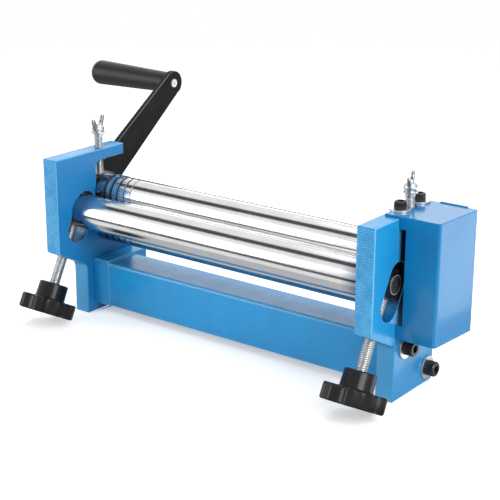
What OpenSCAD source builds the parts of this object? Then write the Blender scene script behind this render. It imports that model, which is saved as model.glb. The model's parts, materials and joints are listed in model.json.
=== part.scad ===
// Bench slip roll: three steel rollers between two side plates on a cast beam.
// Millimetres. +X runs along the rollers to the gear end, +Y to the back, +Z up.
// The origin is on the floor, midway between the plates, under the middle of their feet.
// Depths are measured back from the front edge of the side plates, heights from the floor.

/* [Side plates] */
// Clear width between the two side plates.
clear_w = 320; // [280:5:360]
// Thickness of each side plate.
plate_t = 17; // [16.5:0.5:19]
// Height of the plates' top edge; the rollers hang from it.
plate_h = 156.5; // [140:0.5:175]
// How far the lower front corner of the nose lies below the lower roller's axis.
nose_drop = 16; // [14:0.5:18]
// Depth at which the foot starts.
foot_front = 35.5; // [34:0.5:37]
// Length of the foot from front to back.
foot_len = 64; // [62:1:70]
// Height of the post above the floor of the jaw slot.
post_rise = 19.4; // [14:0.2:24]
// Depth at which the jaw ends.
jaw_end = 90.5; // [90:0.5:96]
// Thickness of the jaw above the slot.
jaw_t = 10; // [9:0.5:11]
// Inner radius at the root of the jaw.
throat_r = 8; // [5:0.5:9]
// Inner radius where the nose meets the foot.
foot_r = 4; // [2:0.5:6]
// Bevel on the outer edges of the plates.
plate_bevel = 1; // [0.5:0.1:1.5]

/* [Rollers] */
// Diameter of the three roller bodies.
roller_d = 32; // [31:0.1:32.5]
// Diameter of the roller journals.
journal_d = 18; // [17:0.1:18.5]
// Diameter of the turned ends that carry the gears and the crank.
drive_d = 15; // [14.5:0.1:15.5]
// Gap between a roller body and a side plate.
end_gap = 0.5; // [0.4:0.1:1]
// Depth of the axis of the two rear rollers.
rear_y = 65; // [64.5:0.1:65.5]
// Gap between the two rear rollers when the upper one is down.
rear_gap = 0.6; // [0.5:0.1:1]
// How far a journal's end stands proud of its bearing block.
journal_proud = 0.5; // [0.3:0.1:0.7]
// Small bevel on the ends of the rollers and journals.
roller_bevel = 0.8; // [0.5:0.1:1]
// Distance from the crank-side plate to the first wire groove.
groove_start = 11.5; // [10:0.5:14]
// Distance from one wire groove to the next.
groove_pitch = 7.8; // [6:0.1:9]
// Widths of the five wire grooves, from the plate inwards.
groove_1_w = 4; // [3.5:0.1:4.5]
groove_2_w = 3.4; // [3:0.1:4]
groove_3_w = 2.8; // [2.4:0.1:3.4]
groove_4_w = 2.2; // [1.8:0.1:2.8]
groove_5_w = 1.6; // [1.2:0.1:2.2]
// Diameter of the centre hole in the roller ends.
centre_d = 3; // [2.5:0.1:4]

/* [Front slot and blocks] */
// Angle of the front slot and the adjusting screws from the vertical, in degrees.
incline = 28; // [26:0.5:30]
// Width of the front slot.
front_slot_w = 25.6; // [25:0.1:26]
// Depth of the centre of the slot's lower end.
front_slot_y = 25.5; // [25:0.5:26.5]
// Height of the centre of the slot's lower end above the lower roller's axis.
front_slot_rise = 3; // [2.5:0.5:4]
// Distance between the centres of the slot's two ends.
front_slot_run = 24; // [22:0.5:25]
// How far up the slot the front roller's axis stands.
front_rest = 18; // [16:0.5:19]
// Height of the front block below the roller axis.
front_block_drop = 12; // [11.5:0.5:13]
// Corner radius of the front block's foot.
front_block_r = 3; // [2:0.5:4]
// How far a bearing block stands back from the plate's outer face.
block_recess = 0.8; // [0.5:0.1:1.5]
// How far a bearing block stands back from the plate's inner face.
block_inner = 0.3; // [0.2:0.1:0.5]

/* [Upper blocks] */
// Width of the jaw slot that holds the upper block.
jaw_slot_w = 27.4; // [26.6:0.2:28]
// Height of the upper block.
upper_block_h = 28; // [27:0.5:30]
// Free height between the upper block and the jaw when the block is down.
jaw_room = 16.4; // [14:0.2:18]
// Corner radius of the upper block.
upper_block_r = 1.5; // [1:0.1:3]

/* [Adjusting screws and knobs] */
// Thread diameter of the adjusting screws.
adjust_d = 10; // [9:0.5:11]
// Diameter of the pilot on the tip of the adjusting screws.
pilot_d = 6; // [5:0.5:7]
// Length of that pilot.
pilot_h = 2; // [1.5:0.1:2.2]
// Distance from the slot's lower centre down to the top of the knob's collar.
knob_drop = 54.5; // [50:0.5:54.5]
// Diameter of the knob's collar.
knob_collar_d = 27.5; // [24:0.5:30]
// Height of the knob's collar.
knob_collar_h = 15; // [12:0.5:15]
// Diameter over the knob's lobes.
knob_d = 52.5; // [48:0.5:52.5]
// Height of the lobed part.
knob_h = 14; // [12:0.5:14]
// Radius of the hollows between the lobes.
knob_hollow_r = 8.5; // [7:0.5:10]
// How deep the hollows cut into the knob.
knob_hollow_depth = 3.6; // [2.5:0.1:4.5]
// Edge radius of the knob.
knob_edge_r = 1.6; // [1:0.1:2.5]
// How far the screw runs into the knob.
knob_socket = 22; // [15:1:24]

/* [Wing bolts] */
// Thread diameter of the wing bolts.
wing_d = 8; // [7:0.5:8.5]
// Diameter of the pilot on the tip of the wing bolts.
wing_pilot_d = 5; // [4:0.5:6]
// Length of that pilot.
wing_pilot_h = 2; // [1.5:0.1:3]
// Height of the wing bolt's collar above the plate's top.
wing_lift = 13; // [12:0.5:15]
// Diameter of the wing bolt's collar.
wing_collar_d = 12.4; // [11:0.1:13.5]
// Thickness of the wing bolt's collar.
wing_collar_h = 1.6; // [1.2:0.1:2.2]
// Largest diameter of the hub above the collar.
wing_hub_d = 11.4; // [10.5:0.1:13]
// Height of the hub.
wing_hub_h = 6.5; // [5.5:0.1:8]
// Reach of each wing from the bolt's axis.
wing_reach = 13.5; // [11:0.5:14]
// Height of the wing tips above the collar's underside.
wing_h = 15.5; // [14:0.5:18]
// Thickness of the wings.
wing_t = 2; // [1.6:0.1:2.6]
// Radial width of a wing's tip.
wing_tip_w = 5.6; // [4.5:0.1:6.5]
// Angle of the wings from the roller direction, in degrees.
wing_turn = -72; // [-85:1:-45]

/* [Base beam] */
// Depth at which the beam starts.
beam_front = 44.5; // [43:0.5:46]
// Depth of the beam from front to back.
beam_l = 40; // [38:0.5:44]
// Height of the beam's underside.
beam_z = 8.1; // [6:0.1:8.5]
// Gap between the beam's top and the lower roller.
beam_clear = 16; // [15:0.1:18]
// Thickness of the flange at each end.
flange_t = 18; // [16:0.5:20]
// How far the flanges rise above the body.
flange_rise = 2; // [1:0.1:3]
// How far the flanges stand proud of the body's front.
flange_proud = 0.8; // [0.4:0.1:2]
// Wall thickness of the hollow underside.
beam_wall = 8; // [7:0.5:10]
// Thickness of the ribs across the hollow.
rib_t = 8; // [6:0.5:10]
// Number of hollows between the ribs.
hollow_count = 3; // [2:1:4]
// Length of the solid ends next to the plates.
beam_solid = 27; // [25:1:32]
// Edge radius of the casting.
cast_r = 3; // [1.5:0.5:4]

/* [Beam bolts] */
// Thread diameter of the beam bolts.
bolt_d = 8; // [7:0.5:8.5]
// Diameter of their clearance holes.
bolt_hole_d = 8.8; // [8.6:0.1:9.4]
// Head diameter of the beam bolts.
bolt_head_d = 13; // [12:0.5:14]
// Head height of the beam bolts.
bolt_head_h = 8; // [7:0.5:9]
// Width across the flats of their sockets.
bolt_socket = 6; // [5:0.5:7]
// Depth of their sockets.
bolt_socket_h = 4.5; // [3.5:0.5:5]
// Length of the beam bolts under the head.
bolt_len = 30; // [26:1:32]
// Depth of the tapped holes in the beam ends.
tap_depth = 14; // [13:0.5:15]
// Diameter of the beam washers.
washer_d = 20; // [18:0.5:21]
// Thickness of the beam washers.
washer_t = 1.8; // [1.2:0.1:2.2]
// Depth of the upper bolt.
bolt_1_y = 52; // [51.5:0.5:54]
// How far the upper bolt lies below the beam's top.
bolt_1_drop = 7; // [7:0.5:9]
// Depth of the lower bolt.
bolt_2_y = 89; // [88:0.5:89.5]
// Height of the lower bolt above the beam's underside.
bolt_2_rise = 5.9; // [5.9:0.1:8]
// Diameter of the tapped hole under each foot.
foot_hole_d = 8; // [7:0.5:8.5]
// Depth of that hole.
foot_hole_h = 16; // [12:1:18]

/* [Gear cover] */
// Sheet thickness of the cover.
sheet_t = 2; // [1.6:0.1:2.4]
// Depth at which the cover starts.
cover_front = 34.8; // [34:0.1:36]
// Depth of the cover from front to back.
cover_l = 54.7; // [53:0.1:55]
// Reach of the cover's front corner beyond the plate.
cover_reach = 36.3; // [34:0.1:38]
// How far the cover's lower edge lies below the lower roller's axis.
cover_drop = 27; // [24:0.5:28]
// How much of the plate's top the cover's flange leaves free on the inside.
cover_lip = 3.75; // [3:0.25:5]
// Outward lean of the cover's side from front to back, in degrees.
cover_flare = 4; // [0:0.5:5]
// Gap between the cover's walls and the plate.
cover_gap = 0.3; // [0.2:0.1:0.6]
// Width of the notch in the front wall.
notch_w = 5.8; // [4:0.1:7]
// How far the notch starts above the cover's lower edge.
notch_rise = 12; // [8:0.5:16]
// How far the notch ends below the plate's top.
notch_drop = 8.5; // [6:0.5:16]
// How far the rear wall stands above the cover's top.
flap_rise = 1; // [0.5:0.1:2]
// Bend radius of the sheet.
bend_r = 3; // [2.5:0.1:4]
// Diameter of the hole for the wing bolt.
wing_hole_d = 11; // [10:0.5:12]
// Thread diameter of the cover screws.
screw_d = 6; // [5:0.5:6.5]
// Diameter of their clearance holes in the cover.
screw_hole_d = 6.6; // [6.6:0.1:7.5]
// Head diameter of the cover and gear screws.
screw_head_d = 10; // [9:0.5:11]
// Head height of the cover and gear screws.
screw_head_h = 6; // [5:0.5:7]
// Width across the flats of their sockets.
screw_socket = 5; // [4:0.5:5.5]
// Depth of their sockets.
screw_socket_h = 3; // [2:0.5:4]
// Length of the cover screws under the head.
screw_len = 12; // [11:0.5:12.5]
// Diameter of the cover washers.
cover_washer_d = 18; // [14:0.5:18]
// Thickness of the cover washers.
cover_washer_t = 1.6; // [1.2:0.1:2]
// Depth of the front cover screw.
screw_1_y = 50; // [48:0.5:51]
// Depth of the rear cover screw.
screw_2_y = 80; // [79:0.5:81]

/* [Gears] */
// Module of the gears, the pitch diameter for each tooth.
gear_module = 2; // [2:0.1:2]
// Width of the gears.
gear_w = 14; // [12:0.5:15]
// Distance from the plate to the gears.
gear_gap = 4; // [3.5:0.5:5]
// How far the roller end stands back inside the gear.
gear_recess = 0.5; // [0.3:0.1:1]
// Side of the square keys.
key_w = 5; // [4:0.5:5]
// Length of the keys.
key_l = 12; // [10:0.5:12]
// Length of the gear screws under the head.
gear_screw_len = 16; // [12:1:20]
// Diameter of the gear washers.
gear_washer_d = 22; // [18:0.5:24]

/* [Lower bushes] */
// Outer diameter of the lower bushes.
bush_d = 24; // [22:0.5:25]
// Diameter of their collars.
bush_collar_d = 29; // [27:0.5:30]
// Thickness of their collars.
bush_collar_t = 1.8; // [1:0.1:2]

/* [Crank] */
// How far the roller's end stands back inside the crank arm.
crank_recess = 0.6; // [0.3:0.1:1.5]
// Gap between the crank's boss and the bush collar.
crank_gap = 1.2; // [0.6:0.1:2]
// Distance from the plate to the crank arm.
crank_offset = 21; // [19:0.5:23]
// Diameter of the crank's boss.
boss_d = 30; // [28:0.5:32]
// Thickness of the crank arm.
crank_t = 5.5; // [5:0.5:7]
// Distance from the crank's axis to the grip pin.
crank_len = 181; // [160:1:190]
// Angle of the arm above the horizontal, in degrees.
crank_angle = 36.5; // [30:0.5:45]
// End radius of the arm at the hub.
crank_hub_r = 18.5; // [17:0.5:20]
// End radius of the arm at the grip.
crank_tip_r = 12.5; // [11:0.5:14]
// Bevel on the arm's edges.
crank_bevel = 0.8; // [0.5:0.1:1]
// Diameter of the crank's set screw.
set_screw_d = 6; // [5:0.5:7]
// Length of the crank's set screw.
set_screw_len = 7; // [6:0.5:8]
// Depth of the seat for the set screw in the roller end.
set_seat = 1; // [0.5:0.1:1.5]

/* [Grip] */
// Diameter of the pin's riveted end.
rivet_d = 9.5; // [8:0.1:10]
// How far the riveted end stands proud of the arm.
rivet_proud = 0.5; // [0.3:0.1:1]
// Diameter of the pin inside the grip.
grip_pin_d = 10; // [9:0.5:11]
// Length of the pin inside the grip.
grip_pin_len = 88; // [70:1:92]
// Diameter of the collar between arm and grip.
pin_collar_d = 15; // [13:0.5:18]
// Thickness of that collar.
pin_collar_t = 1.8; // [1.2:0.1:2.5]
// Length of the grip.
grip_len = 101; // [97:1:105]
// Diameter of the grip next to the arm.
grip_small_d = 20.4; // [18:0.1:22]
// Diameter of the grip near its free end.
grip_big_d = 25.4; // [23:0.1:27]
// Edge radius of the grip next to the arm.
grip_edge_r = 2; // [1:0.5:3]
// Radius of the grip's free end.
grip_end_r = 8; // [5:0.5:9]

/* [Fits] */
// Running clearance on the radius of turning journals and threads.
run_gap = 0.05; // [0.03:0.01:0.08]
// Clearance on each side of the sliding blocks.
slide_gap = 0.1; // [0.05:0.01:0.2]
// Clearance around pilots and other loose parts.
loose_gap = 0.3; // [0.25:0.05:0.5]
// Clearance of keyed and clamped seats.
seat_gap = 0.02; // [0.01:0.01:0.04]
// Overrun of the cutting shapes.
cut = 2; // [1:0.5:3]

/* [Hidden] */
$fn = 96;
half_w = clear_w / 2;
plate_mid = half_w + plate_t / 2;
plate_out = half_w + plate_t;
front_y = -(foot_front + foot_len / 2);
foot_back = foot_front + foot_len;
jaw_z = plate_h - jaw_t;
slot_front = rear_y - jaw_slot_w / 2;
slot_back = rear_y + jaw_slot_w / 2;
upper_top = jaw_z - jaw_room;
slot_z = upper_top - upper_block_h;
upper_z = slot_z + upper_block_h / 2;
lower_z = upper_z - roller_d - rear_gap;
post_h = slot_z + post_rise;
nose_h = lower_z - nose_drop;
under_z = nose_h - foot_front * tan(incline);
front_slot_z = lower_z + front_slot_rise;
beam_h = lower_z - roller_d / 2 - beam_clear - beam_z;
bolt_1_z = beam_z + beam_h - bolt_1_drop;
bolt_2_z = beam_z + bolt_2_rise;
cover_z = lower_z - cover_drop;
notch_z = cover_z + notch_rise;
notch_top = plate_h - notch_drop;
roller_x = half_w - end_gap;
block_x = half_w + block_inner;
block_t = plate_t - block_inner - block_recess;
journal_x = plate_out - block_recess + journal_proud;
front_axis_y = front_slot_y + front_rest * sin(incline);
front_axis_z = front_slot_z + front_rest * cos(incline);
under_s = (front_slot_y * sin(incline)) + (front_slot_z - nose_h) * cos(incline);
gear_x = plate_out + gear_gap;
gear_end = gear_x + gear_w;
drive_end = gear_end - gear_recess;
teeth = 16;
pitch_r = gear_module * teeth / 2;
tip_share = 1;
root_share = 1.25;
tip_r = pitch_r + gear_module * tip_share;
root_r = pitch_r - gear_module * root_share;
pressure = 20;
base_r = pitch_r * cos(pressure);
tooth_thin_share = 0.46;
flank_steps = 5;
boss_x = plate_out + bush_collar_t + crank_gap;
arm_x = plate_out + crank_offset;
crank_out = arm_x + crank_t;
crank_end = crank_out - crank_recess;
cover_x = plate_out + cover_gap;
cover_right = plate_out + cover_reach;
cover_back = cover_front + cover_l;
cover_top = plate_h + sheet_t;
groove_w = [groove_1_w, groove_2_w, groove_3_w, groove_4_w, groove_5_w];
hollow_span = clear_w - 2 * beam_solid;
hollow_pitch = (hollow_span + rib_t) / hollow_count;
lobes = 8;

// Colours.
paint = [0.13, 0.42, 0.78];
steel = [0.78, 0.79, 0.80];
dark = [0.09, 0.09, 0.10];
zinc = [0.72, 0.73, 0.74];
bronze = [0.70, 0.52, 0.26];

// Moves a piece from plate depths to the origin under the feet.
module place() {
    translate([0, front_y, 0]) children();
}

// Mirrors a right-hand piece to the crank side.
module left() {
    mirror([1, 0, 0]) children();
}

// Slab along +X from x0: the drawing's x is the depth and its y the height.
module slab(x0, t) {
    translate([x0, 0, 0]) rotate([90, 0, 90]) linear_extrude(height = t) children();
}

// Round bar along +X from x0, on the given depth and height.
module rod(x0, len, r, y, z) {
    translate([x0, y, z]) rotate([0, 90, 0]) cylinder(h = len, r = r);
}

// Revolved profile along +X from x0: the drawing's x is the radius and its y runs along +X.
module turned(x0, y, z) {
    translate([x0, y, z]) rotate([90, 0, 90]) rotate_extrude() children();
}

// Puts a piece on the axis of the right adjusting screw, s up from the slot's lower centre.
module on_incline(s) {
    translate([plate_mid, front_slot_y, front_slot_z]) rotate([-incline, 0, 0])
        translate([0, 0, s]) children();
}

function unit(v) = v / norm(v);
function back_of(p, i) = unit(p[(i + len(p) - 1) % len(p)] - p[i]);
function on_of(p, i) = unit(p[(i + 1) % len(p)] - p[i]);
function half_angle(p, i) = acos(back_of(p, i) * on_of(p, i)) / 2;
function turns_left(p, i) = cross(-back_of(p, i), on_of(p, i)) > 0;
function tangent(p, r, i) = r[i] / tan(half_angle(p, i));
function arc_mid(p, r, i) = p[i] + unit(back_of(p, i) + on_of(p, i)) * r[i] / sin(half_angle(p, i));

// Polygon, drawn to the left of its edges, whose corners are rounded to their own radii.
module round_poly(p, r) {
    difference() {
        union() {
            polygon([
                for (i = [0 : len(p) - 1])
                    each (r[i] > 0
                        ? [p[i] + back_of(p, i) * tangent(p, r, i), p[i] + on_of(p, i) * tangent(p, r, i)]
                        : [p[i]])
            ]);
            for (i = [0 : len(p) - 1])
                if (r[i] > 0 && turns_left(p, i)) translate(arc_mid(p, r, i)) circle(r = r[i]);
        }
        for (i = [0 : len(p) - 1])
            if (r[i] > 0 && !turns_left(p, i)) translate(arc_mid(p, r, i)) circle(r = r[i]);
    }
}

// Rectangle from its lower left corner with four equal corner radii.
module round_box(w, h, r) {
    round_poly([[0, 0], [w, 0], [w, h], [0, h]], [r, r, r, r]);
}

// Cutter that bevels the straight edge from a to b on the face at x.
module edge_cut(x, a, b, size, over_a, over_b) {
    span = norm(b - a);
    turn = atan2(b[1] - a[1], b[0] - a[0]);
    side = size * sqrt(2);
    translate([x, a[0], a[1]]) rotate([turn, 0, 0]) translate([0, -over_a, 0]) rotate([0, 45, 0])
        translate([-side / 2, 0, -side / 2]) cube([side, span + over_a + over_b, side]);
}

plate_pts = [
    [0, nose_h], [foot_front, under_z], [foot_front, 0], [foot_back, 0],
    [foot_back, post_h], [slot_back, post_h], [slot_back, slot_z], [slot_front, slot_z],
    [slot_front, jaw_z], [jaw_end, jaw_z], [jaw_end, plate_h], [0, plate_h]
];
plate_radii = [0, foot_r, 0, 0, 0, 0, 0, 0, throat_r, 0, 0, 0];
// Edges that carry a bevel: the start's index, then whether the bevel runs past each end.
plate_bevels = [
    [0, 1, 0], [1, 0, 1], [2, 1, 1], [3, 1, 1], [4, 1, 0],
    [9, 1, 1], [10, 1, 1], [11, 1, 1]
];

// Obround of the front slot in the plate's drawing.
module front_slot() {
    translate([front_slot_y, front_slot_z]) rotate(-incline) {
        circle(d = front_slot_w);
        translate([0, front_slot_run]) circle(d = front_slot_w);
        translate([-front_slot_w / 2, 0]) square([front_slot_w, front_slot_run]);
    }
}

// Right side plate; the gear side also has the tapped holes of the cover.
module side_plate(gear_side) {
    color(paint) place() difference() {
        slab(half_w, plate_t) round_poly(plate_pts, plate_radii);
        for (e = plate_bevels) for (x = [half_w, plate_out])
            edge_cut(x, plate_pts[e[0]], plate_pts[(e[0] + 1) % len(plate_pts)], plate_bevel,
                e[1] > 0 ? cut : -tangent(plate_pts, plate_radii, e[0]),
                e[2] > 0 ? cut : -tangent(plate_pts, plate_radii, (e[0] + 1) % len(plate_pts)));
        slab(half_w - cut, plate_t + 2 * cut) front_slot();
        rod(half_w - cut, plate_t + 2 * cut, bush_d / 2, rear_y, lower_z);
        on_incline(-under_s - cut) cylinder(h = under_s + cut, d = adjust_d + 2 * run_gap);
        rod(half_w - cut, plate_t + 2 * cut, bolt_hole_d / 2, bolt_1_y, bolt_1_z);
        rod(half_w - cut, plate_t + 2 * cut, bolt_hole_d / 2, bolt_2_y, bolt_2_z);
        translate([plate_mid, rear_y, jaw_z - cut]) cylinder(h = jaw_t + 2 * cut, d = wing_d + 2 * run_gap);
        translate([plate_mid, -front_y, -cut]) cylinder(h = foot_hole_h + cut, d = foot_hole_d);
        if (gear_side) for (y = [screw_1_y, screw_2_y])
            translate([plate_mid, y, jaw_z - cut]) cylinder(h = jaw_t + 2 * cut, d = screw_d + 2 * seat_gap);
    }
}

module left_side_plate() left() side_plate(false);
module right_side_plate() side_plate(true);

// Half-round wire grooves of the rear rollers.
module grooves(z) {
    for (i = [0 : len(groove_w) - 1])
        translate([-half_w + groove_start + i * groove_pitch, rear_y, z]) rotate([90, 0, 90])
            rotate_extrude() translate([roller_d / 2, 0]) circle(d = groove_w[i]);
}

// Round bar along +X from x0 with bevelled ends.
module step_bar(x0, len, r, y, z) {
    b = roller_bevel;
    turned(x0, y, z) polygon([[0, 0], [r - b, 0], [r, b], [r, len - b], [r - b, len], [0, len]]);
}

module front_roller() {
    color(steel) place() difference() {
        union() {
            step_bar(-roller_x, 2 * roller_x, roller_d / 2, front_axis_y, front_axis_z);
            step_bar(-journal_x, 2 * journal_x, journal_d / 2, front_axis_y, front_axis_z);
        }
        for (x = [-journal_x, journal_x])
            translate([x, front_axis_y, front_axis_z]) rotate([0, x > 0 ? -90 : 90, 0])
                cylinder(h = centre_d / 2, d1 = centre_d, d2 = 0);
    }
}

// Gear end of a rear roller: the turned end with its keyway and tapped hole.
module gear_end_cuts(z) {
    translate([gear_end - key_l - gear_recess, rear_y - key_w / 2, z + drive_d / 2 - key_w / 2])
        cube([key_l + cut, key_w, key_w]);
    rod(drive_end - gear_screw_len, gear_screw_len + cut, screw_d / 2 + seat_gap, rear_y, z);
}

module lower_roller() {
    color(steel) place() difference() {
        union() {
            step_bar(-roller_x, 2 * roller_x, roller_d / 2, rear_y, lower_z);
            rod(-boss_x, boss_x + gear_x, journal_d / 2, rear_y, lower_z);
            step_bar(-crank_end, crank_end + drive_end, drive_d / 2, rear_y, lower_z);
        }
        grooves(lower_z);
        gear_end_cuts(lower_z);
        set_screw_hole(drive_d / 2 - set_seat);
    }
}

module upper_roller() {
    color(steel) place() difference() {
        union() {
            step_bar(-roller_x, 2 * roller_x, roller_d / 2, rear_y, upper_z);
            step_bar(-journal_x, journal_x, journal_d / 2, rear_y, upper_z);
            rod(-half_w, half_w + gear_x, journal_d / 2, rear_y, upper_z);
            step_bar(0, drive_end, drive_d / 2, rear_y, upper_z);
        }
        grooves(upper_z);
        gear_end_cuts(upper_z);
    }
}

module lower_bush() {
    color(bronze) place() difference() {
        union() {
            rod(half_w, plate_t + bush_collar_t, bush_d / 2, rear_y, lower_z);
            rod(plate_out, bush_collar_t, bush_collar_d / 2, rear_y, lower_z);
        }
        rod(half_w - cut, plate_t + bush_collar_t + 2 * cut, journal_d / 2 + run_gap, rear_y, lower_z);
    }
}

module left_lower_bush() left() lower_bush();
module right_lower_bush() lower_bush();

module upper_block() {
    w = jaw_slot_w - 2 * slide_gap;
    color(dark) place() difference() {
        slab(block_x, block_t) translate([rear_y - w / 2, slot_z]) round_box(w, upper_block_h, upper_block_r);
        rod(half_w - cut, plate_t + 2 * cut, journal_d / 2 + run_gap, rear_y, upper_z);
        translate([plate_mid, rear_y, upper_top - wing_pilot_h - loose_gap])
            cylinder(h = wing_pilot_h + loose_gap + cut, d = wing_pilot_d + 2 * loose_gap);
    }
}

module left_upper_block() left() upper_block();
module right_upper_block() upper_block();

module front_block() {
    w = front_slot_w - 2 * slide_gap;
    color(dark) place() difference() {
        slab(block_x, block_t) translate([front_axis_y, front_axis_z]) rotate(-incline) {
            difference() {
                circle(d = w);
                translate([-w / 2, -w]) square([w, w]);
            }
            translate([-w / 2, -front_block_drop])
                round_poly([[0, 0], [w, 0], [w, front_block_drop], [0, front_block_drop]],
                    [front_block_r, front_block_r, 0, 0]);
        }
        rod(half_w - cut, plate_t + 2 * cut, journal_d / 2 + run_gap, front_axis_y, front_axis_z);
        on_incline(front_rest - front_block_drop - cut)
            cylinder(h = pilot_h + loose_gap + cut, d = pilot_d + 2 * loose_gap);
    }
}

module left_front_block() left() front_block();
module right_front_block() front_block();

// Points of one involute flank, from the root to the tip, as [radius, angle].
function roll_angle(r) = r <= base_r ? 0 : sqrt(pow(r / base_r, 2) - 1) * 180 / PI - acos(base_r / r);
function tooth_half(r) = tooth_thin_share * 180 / teeth + roll_angle(pitch_r) - roll_angle(r);
function flank_r(i) = root_r + (tip_r - root_r) * i / flank_steps;
function polar(r, a) = [r * cos(a), r * sin(a)];

// Outline of a gear with one tooth on the drawing's x axis.
module gear_outline() {
    polygon([
        for (t = [0 : teeth - 1]) each concat(
            [for (i = [0 : flank_steps]) polar(flank_r(i), t * 360 / teeth - tooth_half(flank_r(i)))],
            [for (i = [flank_steps : -1 : 0]) polar(flank_r(i), t * 360 / teeth + tooth_half(flank_r(i)))]
        )
    ]);
}

// Gear on a rear roller, turned by a share of one tooth.
module gear(z, turn) {
    color(steel) place() difference() {
        slab(gear_x, gear_w) translate([rear_y, z]) rotate(turn) gear_outline();
        rod(gear_x - cut, gear_w + 2 * cut, drive_d / 2 + seat_gap, rear_y, z);
        translate([gear_x - cut, rear_y - key_w / 2 - seat_gap, z])
            cube([gear_w + 2 * cut, key_w + 2 * seat_gap, drive_d / 2 + key_w / 2 + seat_gap]);
    }
}

module gear_key(z) {
    color(steel) place() translate([drive_end - key_l, rear_y - key_w / 2, z + drive_d / 2 - key_w / 2])
        cube([key_l, key_w, key_w]);
}

// Socket head screw along +Z with its head's underside at zero.
module cap_screw(d, len, head_d, head_h, socket, socket_h) {
    difference() {
        union() {
            translate([0, 0, -len]) cylinder(h = len + head_h - socket_h, d = d);
            rotate_extrude() polygon([
                [0, 0], [head_d / 2, 0], [head_d / 2, head_h - roller_bevel],
                [head_d / 2 - roller_bevel, head_h], [0, head_h]
            ]);
        }
        translate([0, 0, head_h - socket_h]) cylinder(h = socket_h + cut, d = socket / cos(30), $fn = 6);
    }
}

// Washer along +Z.
module washer(d, hole_d, t) {
    difference() {
        cylinder(h = t, d = d);
        translate([0, 0, -cut]) cylinder(h = t + 2 * cut, d = hole_d);
    }
}

module gear_screw(z) {
    color(dark) place() translate([gear_end + cover_washer_t, rear_y, z]) rotate([0, 90, 0])
        cap_screw(
            screw_d, gear_screw_len - gear_recess, screw_head_d, screw_head_h, screw_socket, screw_socket_h
        );
}

module gear_washer(z) {
    color(zinc) place() translate([gear_end, rear_y, z]) rotate([0, 90, 0])
        washer(gear_washer_d, screw_d + 2 * loose_gap, cover_washer_t);
}

module lower_gear() gear(lower_z, 90);
module upper_gear() gear(upper_z, 90 + 180 / teeth);
module lower_gear_key() gear_key(lower_z);
module upper_gear_key() gear_key(upper_z);
module lower_gear_screw() gear_screw(lower_z);
module upper_gear_screw() gear_screw(upper_z);
module lower_gear_washer() gear_washer(lower_z);
module upper_gear_washer() gear_washer(upper_z);

// Turns a shape drawn along +Y, on the crank's axis, to the arm's direction.
module on_crank() {
    translate([0, rear_y, lower_z]) rotate([crank_angle, 0, 0]) children();
}

// Hole of the crank's set screw from the given radius outwards, behind the hub.
module set_screw_hole(r) {
    x = -(boss_x + arm_x) / 2;
    on_crank() translate([x, -r, 0]) rotate([90, 0, 0]) cylinder(h = boss_d, d = set_screw_d + 2 * seat_gap);
}

// Angle between the arm's axis and the radius at which its straight sides touch its ends.
crank_slope = acos((crank_hub_r - crank_tip_r) / crank_len);
function hub_touch(s) = crank_hub_r * [cos(crank_slope), s * sin(crank_slope)];
function tip_touch(s) = [crank_len, 0] + crank_tip_r * [cos(crank_slope), s * sin(crank_slope)];

module crank_outline() {
    circle(r = crank_hub_r);
    translate([crank_len, 0]) circle(r = crank_tip_r);
    polygon([[0, 0], hub_touch(-1), tip_touch(-1), [crank_len, 0], tip_touch(1), hub_touch(1)]);
}

module crank_arm() {
    color(dark) place() difference() {
        union() {
            on_crank() slab(-crank_out, crank_t) crank_outline();
            rod(-crank_out, crank_out - boss_x, boss_d / 2, rear_y, lower_z);
        }
        on_crank() for (x = [-crank_out, -arm_x]) for (s = [-1, 1])
            edge_cut(x, hub_touch(s), tip_touch(s), crank_bevel, 0, 0);
        rod(-crank_out - cut, crank_out - boss_x + 2 * cut, drive_d / 2 + seat_gap, rear_y, lower_z);
        on_crank() rod(-crank_out - cut, crank_t + 2 * cut, rivet_d / 2 + seat_gap, crank_len, 0);
        set_screw_hole(drive_d / 2 - set_seat);
    }
}

module crank_set_screw() {
    x = -(boss_x + arm_x) / 2;
    color(dark) place() on_crank() translate([x, -(drive_d / 2 - set_seat), 0]) rotate([90, 0, 0]) difference() {
        cylinder(h = set_screw_len, d = set_screw_d);
        translate([0, 0, set_screw_len - screw_socket_h])
            cylinder(h = screw_socket_h + cut, d = set_screw_d / 2, $fn = 6);
    }
}

module grip_pin() {
    collar_x = -crank_out - pin_collar_t;
    color(zinc) place() on_crank() {
        rod(collar_x, pin_collar_t + crank_t + rivet_proud, rivet_d / 2, crank_len, 0);
        rod(collar_x, pin_collar_t, pin_collar_d / 2, crank_len, 0);
        rod(collar_x - grip_pin_len, grip_pin_len + pin_collar_t, grip_pin_d / 2, crank_len, 0);
    }
}

module crank_grip() {
    x = -crank_out - pin_collar_t - loose_gap;
    s = grip_small_d / 2;
    b = grip_big_d / 2;
    color(dark) place() on_crank() difference() {
        mirror([1, 0, 0]) turned(-x, crank_len, 0) intersection() {
            round_poly([[0, 0], [s, 0], [b, grip_len - grip_end_r], [b, grip_len], [0, grip_len]],
                [0, grip_edge_r, 0, grip_end_r, 0]);
            square([b, grip_len]);
        }
        rod(x - grip_pin_len, grip_pin_len + cut, grip_pin_d / 2 + run_gap, crank_len, 0);
    }
}

// Plan of the cover from the given inner edge, drawn by a sheet thickness further in each time.
function cover_edge(y, inset) = cover_right + (y - cover_front) * tan(cover_flare) - inset / cos(cover_flare);
function cover_plan(x, inset) = [
    [x, cover_front + inset], [cover_edge(cover_front + inset, inset), cover_front + inset],
    [cover_edge(cover_back - inset, inset), cover_back - inset], [x, cover_back - inset]
];

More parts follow.
